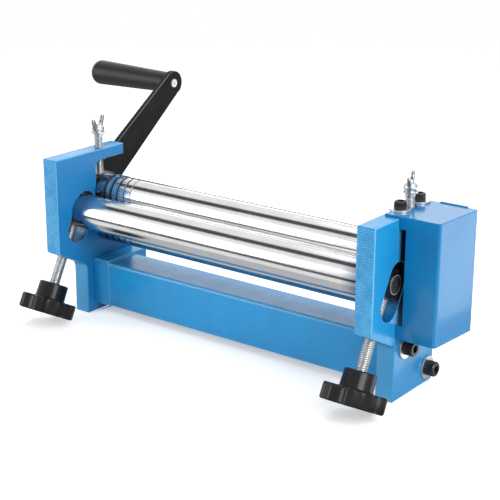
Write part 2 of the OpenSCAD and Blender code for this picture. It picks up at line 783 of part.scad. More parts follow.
module gear_cover() {
    inner_r = bend_r - sheet_t;
    color(paint) place() difference() {
        union() {
            translate([0, 0, cover_z]) linear_extrude(height = cover_top - cover_z) difference() {
                round_poly(cover_plan(cover_x, 0), [0, bend_r, bend_r, 0]);
                translate([-cut, 0]) round_poly(cover_plan(cover_x, sheet_t), [0, inner_r, inner_r, 0]);
            }
            translate([0, 0, plate_h]) linear_extrude(height = sheet_t)
                round_poly(cover_plan(half_w + cover_lip, 0), [0, bend_r, bend_r, 0]);
            translate([cover_x + notch_w, cover_back - sheet_t, cover_top])
                cube([cover_reach - 2 * notch_w, sheet_t, flap_rise]);
        }
        translate([cover_x - cut, cover_front - cut, notch_z])
            cube([notch_w + cut, sheet_t + 2 * cut, notch_top - notch_z]);
        translate([plate_mid, rear_y, plate_h - cut]) cylinder(h = sheet_t + 2 * cut, d = wing_hole_d);
        for (y = [screw_1_y, screw_2_y])
            translate([plate_mid, y, plate_h - cut]) cylinder(h = sheet_t + 2 * cut, d = screw_hole_d);
    }
}

module cover_screws() {
    color(dark) place() for (y = [screw_1_y, screw_2_y])
        translate([plate_mid, y, cover_top + cover_washer_t])
            cap_screw(screw_d, screw_len, screw_head_d, screw_head_h, screw_socket, screw_socket_h);
}

module cover_washers() {
    color(zinc) place() for (y = [screw_1_y, screw_2_y])
        translate([plate_mid, y, cover_top]) washer(cover_washer_d, screw_d + 2 * loose_gap, cover_washer_t);
}

module beam_bolts() {
    color(dark) place() for (p = [[bolt_1_y, bolt_1_z], [bolt_2_y, bolt_2_z]])
        translate([plate_out + washer_t, p[0], p[1]]) rotate([0, 90, 0])
            cap_screw(bolt_d, bolt_len, bolt_head_d, bolt_head_h, bolt_socket, bolt_socket_h);
}

module beam_washers() {
    color(zinc) place() for (p = [[bolt_1_y, bolt_1_z], [bolt_2_y, bolt_2_z]])
        translate([plate_out, p[0], p[1]]) rotate([0, 90, 0])
            washer(washer_d, bolt_d + 2 * loose_gap, washer_t);
}

module left_beam_bolts() left() beam_bolts();
module right_beam_bolts() beam_bolts();
module left_beam_washers() left() beam_washers();
module right_beam_washers() beam_washers();

// Outline of the beam's body or of an end flange, from its front face.
module beam_section(y, l, h) {
    translate([y, beam_z]) round_box(l, h, cast_r);
}

module base_beam() {
    color(paint) place() difference() {
        union() {
            slab(-half_w, clear_w) beam_section(beam_front + flange_proud, beam_l - flange_proud, beam_h);
            for (x = [-half_w, half_w - flange_t])
                slab(x, flange_t) beam_section(beam_front, foot_back - beam_front, beam_h + flange_rise);
        }
        for (i = [0 : hollow_count - 1])
            translate([-hollow_span / 2 + i * hollow_pitch, beam_front + beam_wall, beam_z - cut])
                linear_extrude(height = beam_h - beam_wall + cut)
                    round_box(hollow_pitch - rib_t, beam_l - 2 * beam_wall, cast_r);
        for (p = [[bolt_1_y, bolt_1_z], [bolt_2_y, bolt_2_z]]) {
            rod(-half_w - cut, tap_depth + cut, bolt_d / 2 + seat_gap, p[0], p[1]);
            rod(half_w - tap_depth, tap_depth + cut, bolt_d / 2 + seat_gap, p[0], p[1]);
        }
    }
}

module adjust_screw() {
    tip = front_rest - front_block_drop;
    color(zinc) place() on_incline(-knob_drop - knob_socket) {
        cylinder(h = knob_drop + knob_socket + tip, d = adjust_d);
        cylinder(h = knob_drop + knob_socket + tip + pilot_h, d = pilot_d);
    }
}

// Lobed knob, its collar's top at zero and its head below.
module lobed_knob() {
    full = knob_collar_h + knob_h;
    hollow_at = knob_d / 2 + knob_hollow_r - knob_hollow_depth;
    difference() {
        union() {
            translate([0, 0, -knob_collar_h]) rotate_extrude() intersection() {
                round_poly(
                    [[0, 0], [knob_collar_d / 2, 0], [knob_collar_d / 2, knob_collar_h], [0, knob_collar_h]],
                    [0, 0, knob_edge_r, 0]
                );
                square([knob_d, full]);
            }
            difference() {
                translate([0, 0, -full]) rotate_extrude() intersection() {
                    round_poly([[0, 0], [knob_d / 2, 0], [knob_d / 2, knob_h], [0, knob_h]],
                        [0, knob_edge_r, knob_edge_r, 0]);
                    square([knob_d, full]);
                }
                for (i = [0 : lobes - 1]) rotate([0, 0, i * 360 / lobes]) translate([hollow_at, 0, -full - cut])
                    cylinder(h = knob_h + 2 * cut, r = knob_hollow_r);
            }
        }
        translate([0, 0, -knob_socket]) cylinder(h = knob_socket + cut, d = adjust_d + 2 * seat_gap);
    }
}

module adjust_knob() {
    color(dark) place() on_incline(-knob_drop) lobed_knob();
}

module left_adjust_screw() left() adjust_screw();
module right_adjust_screw() adjust_screw();
module left_adjust_knob() left() adjust_knob();
module right_adjust_knob() adjust_knob();

// One wing, drawn outwards from the bolt's axis with its foot at the collar's underside.
module wing() {
    root = wing_hub_d / 2 - wing_t;
    foot_share = 0.16;
    waist_share = 0.42;
    translate([0, wing_t / 2, 0]) rotate([90, 0, 0]) linear_extrude(height = wing_t)
        round_poly([
            [0, wing_collar_h], [root + wing_t, wing_h * foot_share], [wing_reach, wing_h - wing_tip_w],
            [wing_reach, wing_h], [wing_reach - wing_tip_w, wing_h], [root, wing_h * waist_share],
            [0, wing_h * waist_share]
        ], [0, 0, wing_t, wing_t, wing_t, 0, 0]);
}

module wing_bolt() {
    collar_z = plate_h + wing_lift;
    hub_r = wing_hub_d / 2;
    color(zinc) place() translate([plate_mid, rear_y, 0]) {
        translate([0, 0, upper_top]) cylinder(h = collar_z - upper_top + wing_collar_h, d = wing_d);
        translate([0, 0, upper_top - wing_pilot_h]) cylinder(h = wing_pilot_h * 2, d = wing_pilot_d);
        translate([0, 0, collar_z]) cylinder(h = wing_collar_h, d = wing_collar_d);
        translate([0, 0, collar_z + wing_collar_h]) cylinder(h = wing_hub_h, r1 = hub_r, r2 = wing_d / 2);
        translate([0, 0, collar_z]) for (a = [0, 180]) rotate([0, 0, wing_turn + a]) wing();
    }
}

module left_wing_bolt() translate([-2 * plate_mid, 0, 0]) wing_bolt();
module right_wing_bolt() wing_bolt();

base_beam();
left_side_plate();
right_side_plate();
lower_roller();
upper_roller();
front_roller();
left_lower_bush();
right_lower_bush();
left_upper_block();
right_upper_block();
left_front_block();
right_front_block();
lower_gear();
upper_gear();
lower_gear_key();
upper_gear_key();
lower_gear_screw();
upper_gear_screw();
lower_gear_washer();
upper_gear_washer();
crank_arm();
crank_set_screw();
grip_pin();
crank_grip();
gear_cover();
cover_screws();
cover_washers();
left_beam_bolts();
right_beam_bolts();
left_beam_washers();
right_beam_washers();
left_adjust_screw();
right_adjust_screw();
left_adjust_knob();
right_adjust_knob();
left_wing_bolt();
right_wing_bolt();
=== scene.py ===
"""Dresses the bench slip roll: screw threads, moulded knobs, knurled screws, finishes, studio and camera.

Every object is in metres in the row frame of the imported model: +X along the rollers towards the gear cover,
+Y to the back, +Z up, with the origin on the floor under the middle of the feet.
"""

import json
import logging
import math
from collections.abc import Callable, Sequence
from dataclasses import dataclass
from enum import Enum

import bmesh
import bpy
from bpy.types import Material, Modifier, Node, NodeSocket, Object, World
from mathutils import Matrix, Vector


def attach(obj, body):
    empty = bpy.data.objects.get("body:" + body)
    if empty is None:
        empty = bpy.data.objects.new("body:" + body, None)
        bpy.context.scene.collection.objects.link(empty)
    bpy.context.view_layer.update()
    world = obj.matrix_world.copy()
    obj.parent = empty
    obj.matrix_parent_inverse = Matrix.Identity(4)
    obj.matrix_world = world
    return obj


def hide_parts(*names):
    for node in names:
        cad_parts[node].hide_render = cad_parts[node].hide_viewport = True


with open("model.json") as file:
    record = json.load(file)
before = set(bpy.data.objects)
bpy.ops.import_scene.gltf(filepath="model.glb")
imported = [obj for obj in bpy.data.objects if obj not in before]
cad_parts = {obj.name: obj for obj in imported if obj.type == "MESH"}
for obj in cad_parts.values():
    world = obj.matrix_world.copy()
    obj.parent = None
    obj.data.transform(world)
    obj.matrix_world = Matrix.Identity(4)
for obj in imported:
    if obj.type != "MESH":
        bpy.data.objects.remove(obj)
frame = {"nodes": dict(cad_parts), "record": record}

LOG = logging.getLogger("slip_roll")
MM = 0.001
TURN = 2.0 * math.pi
AXIS_R = 0.1 * MM
Colour = tuple[float, float, float]
Point = tuple[float, float, float]
Radius = Callable[[float], float]
Ring = tuple[float, float | Radius]
WHITE: Colour = (1.0, 1.0, 1.0)
PLASTIC_IOR = 1.45


def srgb(red: int, green: int, blue: int) -> Colour:
    """Linear colour of an 8-bit sRGB one."""
    parts = []
    for value in (red, green, blue):
        share = value / 255.0
        parts.append(share / 12.92 if share <= 0.04045 else ((share + 0.055) / 1.055) ** 2.4)
    return parts[0], parts[1], parts[2]


@dataclass(frozen=True)
class Layout:
    """Places and directions that the finishes and the sub-assemblies share, in metres.

    Attributes:
        rear_axis: Depth of both rear rollers' axes.
        lower_axis: Height of the lower roller's axis, as upper_axis is the upper one's.
        slot_y: Depth of the lower centre of the inclined slots, as slot_z is its height.
        front_rest: How far up the slots the front roller rests.
    """

    plate_mid: float = 168.5 * MM
    plate_out: float = 177.0 * MM
    plate_top: float = 156.5 * MM
    rear_axis: float = -2.5 * MM
    lower_axis: float = 83.5 * MM
    upper_axis: float = 116.1 * MM
    slot_y: float = -42.0 * MM
    slot_z: float = 86.5 * MM
    incline: float = math.radians(28.0)
    front_rest: float = 18.0 * MM

    @property
    def front_axis(self) -> tuple[float, float]:
        """Depth and height of the front roller's axis."""
        up = self.front_rest
        return self.slot_y + up * math.sin(self.incline), self.slot_z + up * math.cos(self.incline)

    def incline_axis(self, side: int) -> Matrix:
        """Placement whose z runs up the adjusting screw of one side, from the slot's lower centre.

        Args:
            side: -1 for the crank side, 1 for the gear side.

        Returns:
            The placement.
        """
        tilt = Matrix.Rotation(-self.incline, 4, "X")
        return Matrix.Translation((side * self.plate_mid, self.slot_y, self.slot_z)) @ tilt


# Shader writing


class Signal:
    """A number that varies over a surface: an output socket on which Python's operators add Math nodes."""

    def __init__(self, web: "Web", socket: NodeSocket) -> None:
        """Wraps one output socket.

        Args:
            web: The node tree that the socket belongs to.
            socket: The output socket.
        """
        self.web = web
        self.socket = socket

    def _maths(self, operation: str, *values: "Signal | float") -> "Signal":
        """A Math node of that operation on the values."""
        return self.web.signal("ShaderNodeMath", dict(enumerate(values)), operation=operation)

    def __add__(self, other: "Signal | float") -> "Signal":
        """self + other."""
        return self._maths("ADD", self, other)

    def __radd__(self, other: float) -> "Signal":
        """other + self."""
        return self._maths("ADD", other, self)

    def __sub__(self, other: "Signal | float") -> "Signal":
        """self - other."""
        return self._maths("SUBTRACT", self, other)

    def __rsub__(self, other: float) -> "Signal":
        """other - self."""
        return self._maths("SUBTRACT", other, self)

    def __mul__(self, other: "Signal | float") -> "Signal":
        """self * other."""
        return self._maths("MULTIPLY", self, other)

    def __rmul__(self, other: float) -> "Signal":
        """other * self."""
        return self._maths("MULTIPLY", other, self)

    def __abs__(self) -> "Signal":
        """Distance from zero."""
        return self._maths("ABSOLUTE", self)

    def __pow__(self, other: float) -> "Signal":
        """self to that power."""
        return self._maths("POWER", self, other)

    def larger(self, other: "Signal | float") -> "Signal":
        """The larger of the two."""
        return self._maths("MAXIMUM", self, other)

    def bearing(self, ahead: "Signal | float") -> "Signal":
        """Angle in radians between straight ahead and a point this far to the side."""
        return self._maths("ARCTAN2", self, ahead)

    def wave(self) -> "Signal":
        """Sine of the value in radians, brought to the span from 0 to 1."""
        return self._maths("SINE", self) * 0.5 + 0.5

    def root(self) -> "Signal":
        """Square root of the value."""
        return self._maths("SQRT", self)


Value = Signal | NodeSocket | float | Colour
Inputs = dict[str | int, Value]


class Web:
    """A node tree under construction, with one method for every kind of node."""

    def __init__(self, owner: Material | World) -> None:
        """Empties the owner's node tree.

        Args:
            owner: The material or world to build.
        """
        owner.use_nodes = True
        self.tree = owner.node_tree
        self.tree.nodes.clear()

    def plug(self, target: NodeSocket, value: Value) -> None:
        """Links a signal or a socket to an input, or sets the input to a constant."""
        source = value.socket if isinstance(value, Signal) else value
        if isinstance(source, NodeSocket):
            self.tree.links.new(source, target)
        else:
            target.default_value = (*source, 1.0) if target.type == "RGBA" else source

    def node(self, kind: str, inputs: Inputs | None = None, **settings: str | bool) -> Node:
        """Adds a node.

        Args:
            kind: The node's type.
            inputs: Constants, sockets or signals by socket name or number.
            settings: Attributes of the node, set before the inputs.

        Returns:
            The new node.
        """
        new = self.tree.nodes.new(kind)
        for key, value in settings.items():
            setattr(new, key, value)
        for key, value in (inputs or {}).items():
            self.plug(new.inputs[key], value)
        return new

    def signal(self, kind: str, inputs: Inputs, **settings: str | bool) -> Signal:
        """Adds a node, as node does, and returns its first output as a number."""
        return Signal(self, self.node(kind, inputs, **settings).outputs[0])


class Sheet(Web):
    """One material under construction, with a single Principled shader on its output."""

    def __init__(self, name: str) -> None:
        """Makes an empty material.

        Args:
            name: The material's name.
        """
        self.material = bpy.data.materials.new(name)
        super().__init__(self.material)
        self.shader = self.node("ShaderNodeBsdfPrincipled")
        self.output = self.node("ShaderNodeOutputMaterial", {"Surface": self.shader.outputs["BSDF"]})
        self.coordinates = self.node("ShaderNodeTexCoord")

    def _numbers(self, name: str) -> tuple[Signal, Signal, Signal]:
        """The x, y and z of one of the coordinates as numbers."""
        split = self.node("ShaderNodeSeparateXYZ", {"Vector": self.coordinates.outputs[name]})
        return Signal(self, split.outputs[0]), Signal(self, split.outputs[1]), Signal(self, split.outputs[2])

    def axes(self) -> tuple[Signal, Signal, Signal]:
        """The position's x, y and z in the object's own metres."""
        return self._numbers("Object")

    def facing(self) -> tuple[Signal, Signal, Signal]:
        """The surface normal's x, y and z in the object's own directions."""
        return self._numbers("Normal")

    def from_axis(self, axis_y: float, axis_z: float) -> Signal:
        """Distance from a line along x."""
        _, y, z = self.axes()
        return ((y - axis_y) ** 2.0 + (z - axis_z) ** 2.0).root()

    def noise(self, size: float, roughness: float = 0.5, detail: float = 2.0,
              stretch: Point | None = None) -> Signal:
        """Noise from 0 to 1.

        Args:
            size: Size of its largest features in metres.
            roughness: Share of the small octaves.
            detail: Octaves.
            stretch: Factors on the position before it is read.

        Returns:
            The noise.
        """
        where = self.coordinates.outputs["Object"]
        if stretch:
            scaled = self.node("ShaderNodeVectorMath", {0: where, 1: stretch}, operation="MULTIPLY")
            where = scaled.outputs["Vector"]
        inputs = {"Vector": where, "Scale": 1.0 / size, "Detail": detail, "Roughness": roughness}
        return self.signal("ShaderNodeTexNoise", inputs, noise_dimensions="3D")

    def ramp(self, value: Signal, low: float, high: float, to_low: float = 0.0,
             to_high: float = 1.0) -> Signal:
        """The value's span from low to high brought to the span from to_low to to_high, clamped."""
        inputs = {"Value": value, "From Min": low, "From Max": high, "To Min": to_low, "To Max": to_high}
        return self.signal("ShaderNodeMapRange", inputs, clamp=True)

    def spread(self, noise: Signal, low: float, high: float) -> Signal:
        """Noise whose usual values, 0.3 to 0.7, are brought to the span from low to high."""
        return self.ramp(noise, 0.3, 0.7, low, high)

    def near(self, distance: Signal, reach: float, fade: float) -> Signal:
        """1 within the reach, less a fade, and 0 beyond it."""
        return self.ramp(distance, reach, reach - fade)

    def mix(self, share: Signal, first: Value, second: Value) -> NodeSocket:
        """A colour between two colours.

        Args:
            share: 0 for the first colour, 1 for the second.
            first: A colour or a colour socket.
            second: A colour or a colour socket.

        Returns:
            The mixed colour's socket.
        """
        ends = {"Factor_Float": share, "A_Color": first, "B_Color": second}
        blend = self.node("ShaderNodeMix", data_type="RGBA")
        for socket in blend.inputs:
            if socket.identifier in ends:
                self.plug(socket, ends[socket.identifier])
        return next(socket for socket in blend.outputs if socket.identifier == "Result_Color")

    def bump(self, height: Signal, distance: float, strength: float) -> None:
        """Feeds a height in units of distance to the shader's normal."""
        bump = self.node("ShaderNodeBump", {"Height": height, "Distance": distance, "Strength": strength})
        self.feed(Normal=bump.outputs["Normal"])

    def feed(self, **values: Value) -> None:
        """Links or sets the shader's inputs; underscores stand for spaces."""
        for key, value in values.items():
            self.plug(self.shader.inputs[key.replace("_", " ")], value)


# Finishes


class Edges(Enum):
    """Which of an object's rounded edges a paint marks."""

    PLATE = "only those around the side faces"
    ANY = "all between level and upright faces"
    TOP = "only those around the top face"


def edge_share(sheet: Sheet, edges: Edges) -> Signal:
    """How far a surface belongs to a rounded edge, from its normal.

    Args:
        sheet: The material.
        edges: Which edges count.

    Returns:
        0 on flat faces, 1 in the middle of an edge.
    """
    x_out, y_out, z_out = sheet.facing()
    if edges is Edges.PLATE:
        return sheet.ramp(abs(x_out), 0.12, 0.35) * sheet.ramp(abs(x_out), 0.99, 0.9)
    flattest = abs(x_out).larger(abs(y_out)).larger(abs(z_out))
    share = sheet.ramp(flattest, 0.96, 0.8)
    return share * sheet.ramp(z_out, 0.15, 0.35) if edges is Edges.TOP else share


@dataclass
class Look:
    """What a paint has worked out so far, each a number that varies over the surface."""

    height: Signal
    rough: Signal
    coat: Signal
    # Share of the deep colour: random tone, and painted shade on the plates' inner faces.
    shade: Signal
    # Share of the lighter colour: the painted highlight on rounded edges, and on the plates also a lighter
    # speckle and paler lower fronts.
    edge: Signal


@dataclass(frozen=True)
class CastPaint:
    """Blue enamel over a casting: slight waviness, orange peel, a painted highlight along the rounded edges
    and a few changes of tone.

    Attributes:
        name: The material's name.
        edges: Which edges get the painted highlight.
    """

    name: str = "blue_cast_enamel"
    edges: Edges = Edges.ANY
    colour: Colour = srgb(31, 147, 208)
    deep: Colour = srgb(18, 116, 176)
    highlight_and_pale_paint: Colour = srgb(120, 196, 238)
    roughness: float = 0.3
    cloud_size: float = 30.0 * MM
    peel_size: float = 4.5 * MM
    grain: float = 1.2 * MM
    relief: float = 0.3 * MM

    def ground(self, sheet: Sheet) -> Look:
        """Works out the plain enamel.

        Args:
            sheet: The material.

        Returns:
            The look that every face starts from.
        """
        cloud = sheet.noise(self.cloud_size, 0.55)
        fine = sheet.noise(self.grain)
        return Look(
            height=sheet.noise(self.peel_size) * 0.5 + fine * 0.35,
            rough=sheet.spread(cloud, self.roughness - 0.05, self.roughness + 0.06),
            coat=sheet.spread(cloud, 0.22, 0.28),
            shade=sheet.ramp(cloud, 0.35, 0.7, 0.0, 0.35),
            # Painted highlight along the rounded edges.
            edge=edge_share(sheet, self.edges) * sheet.ramp(fine, 0.25, 0.6, 0.3, 0.62),
        )

    def tones(self, sheet: Sheet, look: Look) -> NodeSocket:
        """The colour away from the edges."""
        return sheet.mix(look.shade, self.colour, self.deep)

    def make(self) -> Material:
        """Builds the material."""
        sheet = Sheet(self.name)
        look = self.ground(sheet)
        tone = self.tones(sheet, look)
        sheet.feed(Metallic=0.0, IOR=PLASTIC_IOR, Specular_IOR_Level=0.42, Coat_Roughness=0.16)
        # Mixes in the lighter colour: painted highlight on the edges, lighter speckle and paler lower fronts
        # on the plates.
        base = sheet.mix(look.edge, tone, self.highlight_and_pale_paint)
        sheet.feed(Base_Color=base, Roughness=look.rough, Coat_Weight=look.coat)
        sheet.bump(look.height, self.relief, 0.6)
        return sheet.material


@dataclass(frozen=True)
class PlatePaint(CastPaint):
    """The same enamel on the side plates: sawn front edges, milled slots with painted shade, a dull face
    beside the cover and the cover's painted shadow under it.

    Attributes:
        foot_top: Below this height the front edges fade to plain light paint.
        slot_run: Distance between the centres of a slot's ends.
        slot_rim: How far past a slot's wall the marks reach.
        housed_x: Beyond it lies only the right plate's outer face.
        housed_y: Depth of the gear cover's front, as housed_z is its underside's height.
    """

    name: str = "blue_sawn_plate_enamel"
    edges: Edges = Edges.PLATE
    colour: Colour = srgb(28, 138, 196)
    # Darker colour of the saw grooves, and painted shade on the slot walls.
    hollow: Colour = srgb(10, 62, 112)
    painted_shade_colour: Colour = srgb(5, 26, 56)
    layout: Layout = Layout()
    foot_top: float = 75.0 * MM
    foot_fade: float = 30.0 * MM
    foot_share: float = 0.35
    saw_pitch: float = 2.1 * MM
    slot_r: float = 12.8 * MM
    slot_run: float = 24.0 * MM
    slot_rim: float = 0.9 * MM
    stripe_pitch: float = 1.67 * MM
    housed_x: float = 172.0 * MM
    housed_y: float = -30.5 * MM
    housed_z: float = 57.0 * MM

    def saw(self, sheet: Sheet, look: Look) -> Signal:
        """Adds the level cutter marks on faces to the front.

        Args:
            sheet: The material.
            look: The look to change.

        Returns:
            How dark the paint is in the marks.
        """
        _, y_out, _ = sheet.facing()
        _, _, z = sheet.axes()
        upper = sheet.ramp(z, self.foot_top - self.foot_fade, self.foot_top, self.foot_share, 1.0)
        face = sheet.ramp(y_out * -1.0, 0.9, 0.97)
        front = face * upper
        drift = sheet.noise(7.0 * MM, stretch=(1.0, 1.0, 0.35)) * 7.0
        patch = sheet.ramp(sheet.noise(9.0 * MM, 0.6), 0.35, 0.65, 0.15, 1.0)
        lines = (z * (TURN / self.saw_pitch) + drift).wave() * patch
        cut = lines * 0.6 + sheet.noise(1.3 * MM, 0.7, 3.0) * 1.5
        plain_edge = (look.edge * upper).larger(face * (1.0 - upper) * 0.45)
        look.edge = plain_edge.larger(front * sheet.ramp(cut, 0.75, 1.3, 0.05, 0.5))
        look.height = look.height * (1.0 - front) + cut * front
        look.rough = look.rough + front * 0.12
        return front * sheet.ramp(cut, 0.95, 0.5, 0.0, 0.32)

    def inner_faces(self, sheet: Sheet, look: Look) -> None:
        """Paints shade on the faces towards the rollers, as the deep colour, and makes them less glossy."""
        x, _, _ = sheet.axes()
        x_out, _, _ = sheet.facing()
        inner = sheet.ramp(x_out * x * 10.0, -0.5, -1.2)
        # Painted shade: the inner faces take the deep colour.
        look.shade = look.shade.larger(inner)
        look.coat = look.coat * (1.0 - inner * 0.85)
        look.rough = look.rough + inner * 0.1

    def slot_wall(self, sheet: Sheet) -> tuple[Signal, Signal, Signal]:
        """Finds the walls of the front slots and the stripes on them.

        Args:
            sheet: The material.

        Returns:
            1 on the walls and 0 elsewhere, the stripes from 0 to 1, and 1 on the walls of the upper end,
            which take painted shade.
        """
        _, y, z = sheet.axes()
        x_out, _, _ = sheet.facing()
        sin, cos = math.sin(self.layout.incline), math.cos(self.layout.incline)
        deep, high = y - self.layout.slot_y, z - self.layout.slot_z
        along = deep * sin + high * cos
        across = deep * cos - high * sin
        middle = self.slot_run / 2.0
        edge, fade = self.slot_r + self.slot_rim, self.slot_rim * 0.4
        inside = sheet.near(abs(across), edge, fade) * sheet.near(abs(along - middle), middle + edge, fade)
        wall = inside * sheet.ramp(abs(x_out), 0.6, 0.3)
        round_end = abs(across).bearing((along * -1.0).larger(0.0)) * self.slot_r
        marks = ((round_end + along.larger(0.0)) * (TURN / self.stripe_pitch)).wave()
        return wall, marks, wall * sheet.ramp(along, self.slot_run - 3.0 * MM, self.slot_run + 1.0 * MM)

    def housed(self, sheet: Sheet) -> tuple[Signal, Signal]:
        """Finds the outer face beside and under the gear cover.

        Args:
            sheet: The material.

        Returns:
            1 where the paint is dull, from just before the cover on, and 1 under the cover, where the cover's
            shadow is painted.
        """
        x, y, z = sheet.axes()
        x_out, _, _ = sheet.facing()
        outer = sheet.ramp(x, self.housed_x, self.housed_x + 1.0 * MM) * sheet.ramp(x_out, 0.85, 0.95)
        outer = outer * sheet.ramp(z, self.housed_z, self.housed_z + 2.0 * MM)
        dull = outer * sheet.ramp(y, self.housed_y - 7.0 * MM, self.housed_y)
        return dull, outer * sheet.ramp(y, self.housed_y, self.housed_y + 3.5 * MM)

    def tones(self, sheet: Sheet, look: Look) -> NodeSocket:
        """Adds all marks to the look and returns the colour away from the edges."""
        grooves = self.saw(sheet, look)
        self.inner_faces(sheet, look)
        wall, marks, upper_end_shade = self.slot_wall(sheet)
        look.edge = look.edge * (1.0 - wall)
        look.height = look.height * (1.0 - wall) + marks * wall
        dull, dark = self.housed(sheet)
        look.coat = look.coat * (1.0 - dull)
        look.rough = look.rough + dull * 0.5
        tone = sheet.mix(look.shade, self.colour, self.deep)
        # Painted shade: the slot walls darken towards the hollow colour, more in the stripes.
        tone = sheet.mix(grooves.larger(wall * (0.35 + marks * 0.55)), tone, self.hollow)
        # Painted shadow of the gear cover, and painted shade on the slot's upper end, in the near-black
        # colour.
        return sheet.mix(dark.larger(upper_end_shade), tone, self.painted_shade_colour)


@dataclass(frozen=True)
class SheetPaint:
    """Glossy blue enamel on folded sheet, darker along the edges around its top, with a very faint orange
    peel.
    """

    name: str = "blue_sheet_enamel"
    colour: Colour = srgb(10, 117, 172)
    deep: Colour = srgb(8, 110, 165)
    darker_edge_colour: Colour = srgb(10, 62, 118)
    roughness: float = 0.2
    cloud_size: float = 40.0 * MM
    peel_size: float = 3.2 * MM
    relief: float = 0.12 * MM

    def make(self) -> Material:
        """Builds the material."""
        sheet = Sheet(self.name)
        cloud = sheet.noise(self.cloud_size, 0.55)
        flat = sheet.mix(sheet.ramp(cloud, 0.35, 0.7), self.colour, self.deep)
        # The edges around the top go darker.
        edge = edge_share(sheet, Edges.TOP) * sheet.spread(cloud, 0.7, 0.85)
        rough = sheet.spread(cloud, self.roughness, self.roughness + 0.05)
        sheet.feed(Metallic=0.0, IOR=PLASTIC_IOR, Specular_IOR_Level=0.38)
        sheet.feed(Coat_Weight=0.28, Coat_Roughness=0.07)
        sheet.feed(Base_Color=sheet.mix(edge, flat, self.darker_edge_colour), Roughness=rough)
        sheet.bump(sheet.noise(self.peel_size), self.relief, 0.35)
        return sheet.material


@dataclass(frozen=True)
class RollerSteel:
    """Ground steel: fine rings round the axis, painted shade in the grooves, the plates' painted reflection
    near the ends, and darker, duller end faces with a painted highlight ring.

    Attributes:
        name: The material's name.
        axis_y: Depth of the roller's axis.
        axis_z: Height of the roller's axis.
        plate_reflection_reach: How far from the plates their painted reflection reaches.
    """

    name: str
    axis_y: float
    axis_z: float
    plate_reflection_reach: float = 25.0 * MM
    body_r: float = 16.0 * MM
    half_len: float = 159.5 * MM
    highlight_ring_r: float = 7.9 * MM
    highlight_ring_w: float = 0.6 * MM
    ring_size: float = 0.35 * MM
    smear_size: float = 12.0 * MM
    relief: float = 0.04 * MM
    roughness: float = 0.15
    colour: Colour = (0.8, 0.805, 0.81)
    dull: Colour = (0.68, 0.685, 0.7)
    plate_reflection_colour: Colour = (0.13, 0.19, 0.28)
    groove_shade_colour: Colour = (0.025, 0.026, 0.028)
    end_colour: Colour = (0.1, 0.11, 0.12)

    def make(self) -> Material:
        """Builds the material."""
        sheet = Sheet(self.name)
        rings = sheet.noise(self.ring_size, stretch=(1.0, 0.0, 0.0))
        smear = sheet.noise(self.smear_size, 0.6, 3.0, (0.4, 1.0, 1.0))
        x, _, _ = sheet.axes()
        x_out, _, _ = sheet.facing()
        radius = sheet.from_axis(self.axis_y, self.axis_z)
        # Painted shade in the grooves.
        groove = sheet.ramp(radius, self.body_r - 0.12 * MM, self.body_r - 0.9 * MM)
        # Painted reflection of the plates, darker blue near the ends.
        near_plate = sheet.ramp(abs(x), self.half_len - self.plate_reflection_reach, self.half_len - self.plate_reflection_reach * 0.45)
        end = sheet.ramp(abs(x_out), 0.9, 0.98)
        # Painted highlight ring on the dark end faces.
        rim = sheet.near(abs(radius - self.highlight_ring_r), self.highlight_ring_w, self.highlight_ring_w * 0.5)
        bare = sheet.mix(sheet.ramp(smear, 0.3, 0.75), self.colour, self.dull)
        plate_reflected = sheet.mix(near_plate * 0.8, bare, self.plate_reflection_colour)
        groove_shaded = sheet.mix(groove, plate_reflected, self.groove_shade_colour)
        faced = sheet.mix(rim, self.end_colour, self.colour)
        worn = sheet.spread(rings, self.roughness - 0.02, self.roughness + 0.04)
        sheet.feed(Metallic=1.0, Specular_IOR_Level=0.5)
        sheet.feed(Base_Color=sheet.mix(end, groove_shaded, faced), Roughness=worn + end * 0.2 + groove * 0.25)
        sheet.bump(rings, self.relief, 0.12)
        return sheet.material


@dataclass(frozen=True)
class Metal:
    """Bare or plated metal with a fine mottled sheen."""

    name: str
    colour: Colour
    shade: Colour
    roughness: float
    mottle: float = 2.5 * MM
    metallic: float = 1.0
    relief: float = 0.03 * MM

    def make(self) -> Material:
        """Builds the material."""
        sheet = Sheet(self.name)
        patch = sheet.noise(self.mottle, 0.6, 4.0)
        base = sheet.mix(sheet.ramp(patch, 0.32, 0.68), self.colour, self.shade)
        rough = sheet.spread(patch, self.roughness - 0.05, self.roughness + 0.08)
        sheet.feed(Metallic=self.metallic, Base_Color=base, Roughness=rough)
        sheet.bump(sheet.noise(self.mottle * 0.16), self.relief, 0.4)
        return sheet.material


@dataclass(frozen=True)
class ThreadedZinc:
    """Bright zinc on a screw, with painted shade in the thread's roots.

    Attributes:
        name: The material's name.
        foot: A point of the right-hand screw's axis.
        lean: How far the axis leans to the rear.
        crest: Radius of the thread's crests.
        depth: Depth of the thread.
    """

    name: str
    foot: Point
    lean: float
    crest: float
    depth: float
    colour: Colour = (0.8, 0.81, 0.815)
    shade: Colour = (0.7, 0.71, 0.72)
    root_shade_colour: Colour = (0.44, 0.45, 0.46)
    roughness: float = 0.3
    mottle: float = 6.0 * MM
    relief: float = 0.02 * MM

    def make(self) -> Material:
        """Builds the material."""
        sheet = Sheet(self.name)
        x, y, z = sheet.axes()
        side, deep, high = abs(x) - self.foot[0], y - self.foot[1], z - self.foot[2]
        across = deep * math.cos(self.lean) - high * math.sin(self.lean)
        radius = (side * side + across * across).root()
        # Painted shade in the thread's roots.
        root = sheet.ramp(radius, self.crest - self.depth * 0.35, self.crest - self.depth * 0.8)
        patch = sheet.noise(self.mottle)
        plated = sheet.mix(sheet.ramp(patch, 0.35, 0.65), self.colour, self.shade)
        rough = sheet.spread(patch, self.roughness - 0.03, self.roughness + 0.05) + root * 0.15
        sheet.feed(Metallic=1.0, Base_Color=sheet.mix(root, plated, self.root_shade_colour), Roughness=rough)
        sheet.bump(patch, self.relief, 0.3)
        return sheet.material


